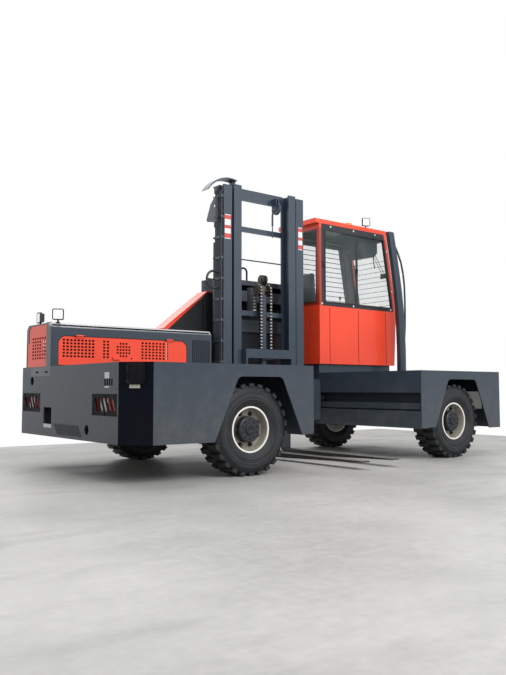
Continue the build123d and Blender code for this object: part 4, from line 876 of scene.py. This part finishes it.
chainY, sheaveY, sheaveZ = chainPlan["y"], chainPlan["sheaveY"], chainPlan["sheaveZ"]
footZ = chainPlan["low"] + chainPlan["foot"]
frontCount = int((sheaveZ - chainPlan["low"]) / pitch)
frontRoute = [((chainY, footZ + step * pitch), 0.0) for step in range(frontCount)]
wrapRadius = sheaveY - chainY
wrapStep = pitch / wrapRadius
wrapRoute = []
for step in range(int(math.pi / wrapStep) + 1):
    turn = step * wrapStep
    spot = (sheaveY - wrapRadius * math.cos(turn), sheaveZ + wrapRadius * math.sin(turn))
    wrapRoute.append((spot, -turn - wrapStep / 2))
backY = sheaveY + wrapRadius
backCount = int((sheaveZ - chainPlan["anchorZ"]) / pitch) + 1
backRoute = [((backY, sheaveZ - step * pitch), math.pi) for step in range(backCount)]
fronts, wraps, backs, anchors = [], [], [], []
halfX, halfY = chainPlan["clevisHalf"]
for chainX in chainPlan["xs"]:
    fronts.append(chainRun(frontRoute, chainX))
    wraps.append(chainRun(wrapRoute, chainX))
    backs.append(chainRun(backRoute, chainX))
    clevis = startBlock(
        "clevis",
        (chainX - halfX, backY - halfY, chainPlan["anchorLow"]),
        (chainX + halfX, backY + halfY, chainPlan["anchorHigh"]),
    )
    pressRims(clevis, (0, 0, 1), chainPlan["clevisRim"])
    soften(clevis, chainPlan["clevisEdge"], 1)
    anchors.append(clevis)
bpy.data.objects.remove(plateLink)
bpy.data.objects.remove(pinLink)
chains = joined("leaf_chains", fronts)
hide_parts("lift_chains")
finished(chains, "free_lift", "chain_steel", smooth=False)
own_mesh(chains)
finished(joined("chain_wraps", wraps), "free_lift", "chain_steel", smooth=False)
backRuns = finished(joined("chain_back_runs", backs), None, "chain_steel", smooth=False)
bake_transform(backRuns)
finished(joined("chain_anchors", anchors), "inner_mast", "chain_steel")
print("chains done")


# wheels: nuts on the discs, a bolted cap on each hub, a valve stem

wheelPlan = {
    "bodies": {
        # axle's x, y of the wheel's middle, side it faces
        "wheel_rear_near": (-1.225, -0.870, -1),
        "wheel_rear_far": (-1.225, 1.070, 1),
        "wheel_front_near": (1.715, -0.870, -1),
        "wheel_front_far": (1.715, 1.070, 1),
    },
    "discDepth": 0.0298, "hubDepth": 0.1078,
    # bolts as radius and height, rings as circle, count and first turn
    "nut": (0.0165, 0.024), "nutRing": (0.150, 8, 22.5),
    "capRadius": 0.052, "capHeight": 0.008, "capEdge": 0.0012,
    "capRims": ((0.006, 0.003), (0.022, 0.0), (0.004, -0.002)),
    "capBolt": (0.0075, 0.008), "capRing": (0.083, 10, 0),
    "valveRing": (0.176, 1, 200), "valveLength": 0.045, "valveRadius": 0.0045, "valveTip": 0.006,
}


def ringSpots(wheelX, faceY, out, circle, count, startTurn):
    # places evenly round the axle, each facing outwards
    spots = []
    for index in range(count):
        turn = math.radians(startTurn + 360 / count * index)
        along, up = math.sin(turn) * circle, math.cos(turn) * circle
        spots.append(((wheelX + along, faceY, wheelPlaces["axleZ"] + up), (0, out, 0)))
    return spots


for bodyName, (wheelX, wheelY, out) in wheelPlan["bodies"].items():
    outward = (0, out, 0)
    discY = wheelY + out * wheelPlan["discDepth"]
    hubY = wheelY + out * wheelPlan["hubDepth"]
    nutSpots = ringSpots(wheelX, discY, out, *wheelPlan["nutRing"])
    finished(boltsAt(bodyName + "_nuts", wheelPlan["nut"], nutSpots), bodyName, "black_steel")
    capMiddle = (wheelX, hubY + out * wheelPlan["capHeight"] / 2, wheelPlaces["axleZ"])
    cap = startRound("cap", capMiddle, wheelPlan["capRadius"], wheelPlan["capHeight"], outward, 32)
    pressRims(cap, outward, *wheelPlan["capRims"])
    soften(cap, wheelPlan["capEdge"], 1)
    capSpots = ringSpots(wheelX, hubY, out, *wheelPlan["capRing"])
    capBolts = boltsAt("capBolts", wheelPlan["capBolt"], capSpots)
    finished(joined(bodyName + "_hub_cap", [cap, capBolts]), bodyName, "black_steel")
    foot = Vector(ringSpots(wheelX, discY, out, *wheelPlan["valveRing"])[0][0])
    tip = foot + Vector(outward) * wheelPlan["valveLength"]
    valve = rod(bodyName + "_valve", foot, tip, wheelPlan["valveRadius"], 8)
    pickFacing(valve, outward)
    push((0, out * wheelPlan["valveTip"], 0))
    stopEdit()
    finished(valve, bodyName, "hose_rubber")
print("wheels done")


# lamps: lenses of the work lamps, bolts of the slatted guards

lampPlan = {
    "half": 0.046, "sink": 0.007, "forward": 0.0182,
    "rims": ((0.005, 0.0015), (0.008, -0.002), (0.014, 0.0015)),
    "edge": 0.0012,
    "spots": (
        # x, y, z of the lens's middle, facing in degrees
        (-2.388, 0.620, 1.514, -118),
        (-2.385, 1.077, 1.514, 176),
        (1.955, 0.580, 3.044, -112),
    ),
}
lenses = []
half = lampPlan["half"]
for *spot, turn in lampPlan["spots"]:
    outward = Vector((math.cos(math.radians(turn)), math.sin(math.radians(turn)), 0))
    lens = startBlock("lens", (-half, -half, 0), (half, half, lampPlan["sink"]))
    pressRims(lens, (0, 0, 1), *lampPlan["rims"])
    soften(lens, lampPlan["edge"], 1)
    lens.location = Vector(spot) + outward * lampPlan["forward"]
    lens.rotation_euler = turnTo(outward)
    lenses.append(lens)
finished(joined("work_lamp_lenses", lenses), "chassis", "nose_lens", paint["lamp_glass"])

guardPlan = {
    "faceX": 2.481, "ys": (-0.607, 1.022), "z": 0.645,
    "halfWide": 0.216, "halfHigh": 0.078, "bolt": (0.0095, 0.0038),
}
guardSpots = []
for end in (-1, 1):
    for middleY in guardPlan["ys"]:
        for across in (-1, 0, 1):
            for up in (-1, 1):
                spotY = middleY + across * guardPlan["halfWide"]
                spotZ = guardPlan["z"] + up * guardPlan["halfHigh"]
                guardSpots.append(((end * guardPlan["faceX"], spotY, spotZ), (end, 0, 0)))
guardBolts = boltsAt("guard_bolts", guardPlan["bolt"], guardSpots)
finished(guardBolts, "chassis", "black_steel", paint["guard_black"])
print("lamps done")


# cab: bolts, seals, latches, wiper, post with its rail, guard on the screen

cabPlan = {
    "nearFace": 0.520,
    "bolts": (
        # x and z on the near face
        (1.082, 1.866), (1.647, 1.866), (2.370, 1.866), (2.394, 2.124),
        (1.241, 2.872), (1.660, 2.872), (2.073, 2.872), (2.300, 2.673),
    ),
    "bolt": (0.0095, 0.007),
    # the front edge of the cab's side leans back by so much over the height above the sill
    "sillFront": 2.480, "sillZ": 1.840, "lean": 0.185, "leanHeight": 1.060,
    "screenNormal": Vector((0.985, 0, 0.172)),
    "windowLow": 1.886, "windowHigh": 2.825, "windowBack": 1.133, "windowFrontEdge": 0.074,
    "endWindow": (0.574, 1.204), "backFace": 1.0398, "doorFace": 1.2582,
    "doorWindowBack": 1.354, "doorWindowEdge": 0.199, "doorWindowHigh": 2.786,
    "sealWidth": 0.012, "sealDepth": 0.006, "sealOff": 0.0002, "sealEdge": 0.0022,
}
paneSpots = [((x, cabPlan["nearFace"], z), (0, -1, 0)) for x, z in cabPlan["bolts"]]
paneBolts = boltsAt("window_bolts", cabPlan["bolt"], paneSpots)
finished(paneBolts, "chassis", "rod_chrome", paint["zinc"])


def frontAt(height):
    # front edge x of the cab's side above the sill
    above = height - cabPlan["sillZ"]
    return cabPlan["sillFront"] - cabPlan["lean"] * above / cabPlan["leanHeight"]


def onScreen(across, height, lift):
    # a point at a lift off the slanted windscreen
    return Vector((frontAt(height), across, height)) + cabPlan["screenNormal"] * lift


def sideOpening(back, edge, face, low, high):
    # corners of an opening in the cab's side, whose front edge follows the lean
    frontLow, frontHigh = frontAt(low) - edge, frontAt(high) - edge
    return [(back, face, low), (frontLow, face, low), (frontHigh, face, high), (back, face, high)]


def endOpening(lowX, highX, low, high):
    near, far = cabPlan["endWindow"]
    return [(lowX, near, low), (lowX, far, low), (highX, far, high), (highX, near, high)]


def seal(corners, outward):
    # rubber ring round one opening: an inset face whose middle is cut out, given thickness
    ring = startPlate("ring", corners)
    pickFaces(ring, lambda middle, normal: True)
    inset(cabPlan["sealWidth"])
    bpy.ops.mesh.delete(type="FACE")
    bpy.ops.mesh.select_all(action="SELECT")
    push([cabPlan["sealDepth"] * component for component in outward])
    bpy.ops.mesh.select_all(action="SELECT")
    bpy.ops.mesh.normals_make_consistent(inside=False)
    stopEdit()
    soften(ring, cabPlan["sealEdge"])
    return ring


low, high = cabPlan["windowLow"], cabPlan["windowHigh"]
sideY, backX = cabPlan["nearFace"] - cabPlan["sealOff"], cabPlan["backFace"]
sideCorners = sideOpening(cabPlan["windowBack"], cabPlan["windowFrontEdge"], sideY, low, high)
seals = [
    seal(sideCorners, (0, -1, 0)),
    seal(endOpening(backX, backX, low, high), (-1, 0, 0)),
    seal(endOpening(frontAt(low), frontAt(high), low, high), cabPlan["screenNormal"]),
]
finished(joined("window_seals", seals), "chassis", "cab_trim", paint["black_steel"])
doorEdges = (cabPlan["doorWindowBack"], cabPlan["doorWindowEdge"], cabPlan["doorFace"])
doorSeal = seal(sideOpening(*doorEdges, low, cabPlan["doorWindowHigh"]), (0, 1, 0))
doorSeal.name = "door_seal"
finished(doorSeal, "door", "cab_trim", paint["black_steel"])

latchPlan = {
    "corners": (
        ((1.098, 0.512, 2.330), (1.118, 0.5206, 2.412)),
        ((1.712, 0.512, 2.300), (1.730, 0.5206, 2.380)),
    ),
    "rim": (0.004, 0.003),
    "edge": 0.002,
}
latches = []
for lowCorner, highCorner in latchPlan["corners"]:
    latch = startBlock("latch", lowCorner, highCorner)
    pressRims(latch, (0, -1, 0), latchPlan["rim"])
    soften(latch, latchPlan["edge"])
    latches.append(latch)
finished(joined("window_latches", latches), "chassis", "cab_trim", paint["black_steel"])

wiperPlan = {
    "rods": (
        # two ends, each across, up and off the screen, then the radius
        ((0.640, 2.360, 0.012), (0.800, 2.680, 0.030), 0.004),
        ((0.680, 2.350, 0.012), (0.830, 2.670, 0.030), 0.0035),
        ((0.815, 2.480, 0.012), (0.815, 2.800, 0.012), 0.007),
    ),
    "hub": (0.660, 2.360, 0.012),
    "hubSize": (0.022, 0.014),
    "hubRim": (0.006, 0.006),
    # corners, x from the screen at the hub
    "mount": ((-0.014, 0.590, 2.320), (0.010, 0.710, 2.390)),
    "mountEdge": 0.006,
}
rods = wiperPlan["rods"]
wiperParts = [rod("rod", onScreen(*low), onScreen(*high), radius) for low, high, radius in rods]
hubSpot, screenNormal = wiperPlan["hub"], cabPlan["screenNormal"]
hub = startRound("hub", onScreen(*hubSpot), *wiperPlan["hubSize"], screenNormal)
pressRims(hub, screenNormal, wiperPlan["hubRim"])
screenX = Vector((frontAt(hubSpot[1]), 0, 0))
mount = startBlock("mount", *[screenX + Vector(corner) for corner in wiperPlan["mount"]])
soften(mount, wiperPlan["mountEdge"])
finished(joined("wiper", wiperParts + [hub, mount]), "chassis", "cab_trim", paint["black_steel"])

postPlan = {
    "ys": (0.302, 0.368),
    "stations": (
        # height, rear and front x
        (0.986, 2.309, 2.425), (1.300, 2.308, 2.424), (1.600, 2.298, 2.413),
        (1.850, 2.281, 2.395), (2.100, 2.252, 2.363), (2.350, 2.213, 2.320),
        (2.620, 2.166, 2.268), (2.895, 2.114, 2.213),
    ),
    "edge": 0.007,
    "railY": 0.335,
    "railRadius": 0.013,
    "rail": (
        # height and x from the top down
        (2.760, 2.212), (2.700, 2.275), (2.600, 2.335), (2.500, 2.384), (2.350, 2.424),
        (2.190, 2.446), (2.000, 2.453), (1.800, 2.453), (1.600, 2.447), (1.450, 2.432),
        (1.309, 2.401),
    ),
}


def stack(piece, stations):
    # pushes the top face up from station to station and gives it that station's width
    for height, rear, front in stations:
        top = max(vertex.co.z for vertex in piece.data.vertices)
        pickFaces(piece, lambda middle, normal: middle.z > top - modelSet["near"])
        points = bmesh.from_edit_mesh(piece.data).verts
        faceXs = [point.co.x for point in points if point.select]
        middleX, width = (max(faceXs) + min(faceXs)) / 2, max(faceXs) - min(faceXs)
        newMiddle = (rear + front) / 2
        push((newMiddle - middleX, 0, height - top))
        stretch = ((front - rear) / width, 1, 1)
        bpy.ops.transform.resize(value=stretch, center_override=(newMiddle, 0, height))
        stopEdit()
    return piece


nearY, farY = postPlan["ys"]
(bottomZ, rearX, frontX), (secondZ, *_) = postPlan["stations"][:2]
post = startBlock("post", (rearX, nearY, bottomZ), (frontX, farY, secondZ))
stack(post, postPlan["stations"][2:])
soften(post, postPlan["edge"])
railPoints = [(x, postPlan["railY"], z) for z, x in postPlan["rail"]]
railEnds = zip(railPoints[1:], railPoints)
rails = [rod("rail", below, above, postPlan["railRadius"]) for below, above in railEnds]
guard = joined("post_with_rail", [post] + rails)
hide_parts("guard_post")
finished(guard, "chassis", "frame_paint")

screenBars = {
    "low": 1.945, "high": 2.560, "over": 0.02, "count": 10, "lift": 0.014,
    "radius": 0.0035, "uprightRadius": 0.0049, "ends": (0.582, 1.196),
}
barsLow, barsHigh, lift = screenBars["low"], screenBars["high"], screenBars["lift"]
bars = []
for row in range(screenBars["count"]):
    barZ = barsLow + (barsHigh - barsLow) * row / (screenBars["count"] - 1)
    ends = [onScreen(across, barZ, lift) for across in screenBars["ends"]]
    bars.append(rod("bar", *ends, screenBars["radius"], 8))
uprightZs = (barsLow - screenBars["over"], barsHigh + screenBars["over"])
for across in screenBars["ends"]:
    ends = [onScreen(across, z, lift) for z in uprightZs]
    bars.append(rod("upright", *ends, screenBars["uprightRadius"], 8))
finished(joined("screen_guard", bars), "chassis", "cab_trim")
print("cab details done")


# mast: blank banded labels, clamp screws

labelPlan = {
    "corners": {
        "left": ((-0.432, 0.5308, 2.512), (-0.348, 0.5321, 2.798)),
        "right": ((0.693, 0.5308, 2.510), (0.760, 0.5321, 2.794)),
    },
    "bands": ((0.03, 0.22), (0.42, 0.56), (0.8, 0.97)),
    "rim": (0.003, 0.0002),
    "edge": 0.0003,
}
for side, (lowCorner, highCorner) in labelPlan["corners"].items():
    label = startBlock("mast_label_" + side, lowCorner, highCorner)
    pressRims(label, (0, -1, 0), labelPlan["rim"])
    soften(label, labelPlan["edge"], 1)
    ends = (lowCorner[2], highCorner[2])
    banded = bandedLabel(Shader("label_" + side), *ends, labelPlan["bands"])
    finished(label, "mast", "nose_lens", banded)

clampPlan = {
    "x": -0.4794, "ys": (0.546, 0.676), "low": 1.090,
    "pitch": 0.240, "count": 9, "screw": (0.0075, 0.016),
}
clampSpots = []
for index in range(clampPlan["count"]):
    clampZ = clampPlan["low"] + index * clampPlan["pitch"]
    for clampY in clampPlan["ys"]:
        clampSpots.append(((clampPlan["x"], clampY, clampZ), (-1, 0, 0)))
finished(boltsAt("clamp_screws", clampPlan["screw"], clampSpots), "mast", "black_steel")
print("mast details done")


# tail: cups behind the two round holes

cupPlan = {
    "spots": ((-0.272, 0.421), (1.016, 0.860)), "faceX": -2.473, "radius": 0.056,
    "wall": 0.010, "depth": 0.07, "floor": 0.008, "edge": 0.0015,
}
cups = []
for cupY, cupZ in cupPlan["spots"]:
    cupMiddle = (cupPlan["faceX"] + cupPlan["depth"] / 2, cupY, cupZ)
    cup = startRound("cup", cupMiddle, cupPlan["radius"], cupPlan["depth"], (1, 0, 0), 28)
    pickFacing(cup, (-1, 0, 0))
    inset(cupPlan["wall"])
    push((cupPlan["depth"] - cupPlan["floor"], 0, 0))
    stopEdit()
    soften(cup, cupPlan["edge"], 1)
    cups.append(cup)
finished(joined("tail_cups", cups), "chassis", "black_steel")
print("tail details done")


# rack: dark back sheet behind the valve gear

rackPlan = {
    "side": 0.082, "low": 0.33, "top": 0.13, "back": 0.006, "thick": 0.004,
    "panel": 0.03, "press": 0.001, "edge": 0.001,
}
rackLow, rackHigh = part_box("rack")
sheetBack = rackHigh[1] - rackPlan["back"]
sheetFront = sheetBack - rackPlan["thick"]
sheet = startBlock(
    "rack_back_sheet",
    (rackLow[0] + rackPlan["side"], sheetFront, rackLow[2] + rackPlan["low"]),
    (rackHigh[0] - rackPlan["side"], sheetBack, rackHigh[2] - rackPlan["top"]),
)
pickFacing(sheet, (0, -1, 0))
inset(rackPlan["panel"])
push((0, rackPlan["press"], 0))
stopEdit()
soften(sheet, rackPlan["edge"], 1)
finished(sheet, "chassis", "black_steel")
print("rack details done")


# stage: floor, lights, world, camera

stageSet = {
    "floorLow": (-16.0, -16.0),
    "floorHigh": (5.6, 3.7),
    "paleConcrete": srgb(192, 191, 188),
    "greyConcrete": srgb(158, 158, 157),
    "tyreTrails": srgb(128, 128, 128),
    "trailShare": 0.3,
    "ambient": 0.58,
    "lamps": (
        # name, place, target, size, power
        ("keyPanel", (-1.5, -7.5, 6.0), (0, 0, 1.0), 4.5, 480),
        ("fillPanel", (4.5, -6.5, 5.0), (0.5, 0, 1.0), 5.0, 150),
        ("backPanel", (-1.0, 6.0, 6.0), (0, 0, 1.5), 5.0, 150),
        ("skyPanel", (-0.8, 0.3, 6.2), (-0.8, 0.3, 0), 2.2, 70),
    ),
}

floor = started("stage_floor", bpy.ops.mesh.primitive_plane_add, size=1)
floorEnds = list(zip(stageSet["floorLow"], stageSet["floorHigh"]))
floor.scale = [high - low for low, high in floorEnds] + [1]
floor.location = [(low + high) / 2 for low, high in floorEnds] + [0]
settle(floor)
concrete = Shader("stage_concrete")
cloud = concrete.noise(0.7, 7, 0.6)
fleck = concrete.noise(16, 6, 0.65)
trails = concrete.ramp(concrete.noise(1.1, 6, 0.62, (1, 2.4, 1)), [(0.5, 0.0), (0.7, 1.0)])
tone = concrete.ramp(cloud * 0.7 + fleck * 0.3, [(0.35, 0.0), (0.65, 1.0)])
plain = concrete.mix(tone, stageSet["greyConcrete"], stageSet["paleConcrete"])
floor.data.materials.append(concrete.surface(
    Base_Color=concrete.mix(trails * stageSet["trailShare"], plain, stageSet["tyreTrails"]),
    Roughness=0.36 + fleck * 0.25 + trails * 0.15,
    Normal=concrete.bump(fleck, 0.001, 0.15),
))

# the world lights softly, and looks pure white to the camera, through glass and in reflections
world = bpy.data.worlds.new("studioWorld")
scene.world = world
world.use_nodes = True
sky = world.node_tree
background = sky.nodes["Background"]
white = sky.nodes.new("ShaderNodeBackground")
for light, strength in ((background, stageSet["ambient"]), (white, 1.0)):
    light.inputs["Color"].default_value = (1, 1, 1, 1)
    light.inputs["Strength"].default_value = strength
rays = sky.nodes.new("ShaderNodeLightPath").outputs
seen = rays["Is Camera Ray"]
for rayName in ("Is Transmission Ray", "Is Glossy Ray"):
    either = sky.nodes.new("ShaderNodeMath")
    either.operation = "MAXIMUM"
    sky.links.new(seen, either.inputs[0])
    sky.links.new(rays[rayName], either.inputs[1])
    seen = either.outputs[0]
chooser = sky.nodes.new("ShaderNodeMixShader")
for index, output in enumerate((seen, background.outputs[0], white.outputs[0])):
    sky.links.new(output, chooser.inputs[index])
sky.links.new(chooser.outputs[0], sky.nodes["World Output"].inputs["Surface"])

for lampName, spot, target, size, power in stageSet["lamps"]:
    bpy.ops.object.light_add(type="AREA", location=spot)
    lamp = bpy.context.active_object
    lamp.name = lampName
    lamp.data.shape = "SQUARE"
    lamp.data.size = size
    lamp.data.energy = power
    lamp.rotation_euler = turnTo(Vector(target) - Vector(spot), "-Z")

viewPoint = {
    "place": (-5.2744, -6.2434, 0.7748), "yaw": 37.793, "pitch": 4.064,
    "lens": 39.006, "sensor": 36,
}
viewTurn = (math.radians(90 + viewPoint["pitch"]), 0, math.radians(-viewPoint["yaw"]))
bpy.ops.object.camera_add(location=viewPoint["place"], rotation=viewTurn)
camera = bpy.context.active_object
camera.data.sensor_width = viewPoint["sensor"]
camera.data.lens = viewPoint["lens"]
scene.camera = camera
scene.view_settings.view_transform = "Standard"
print("stage ready")
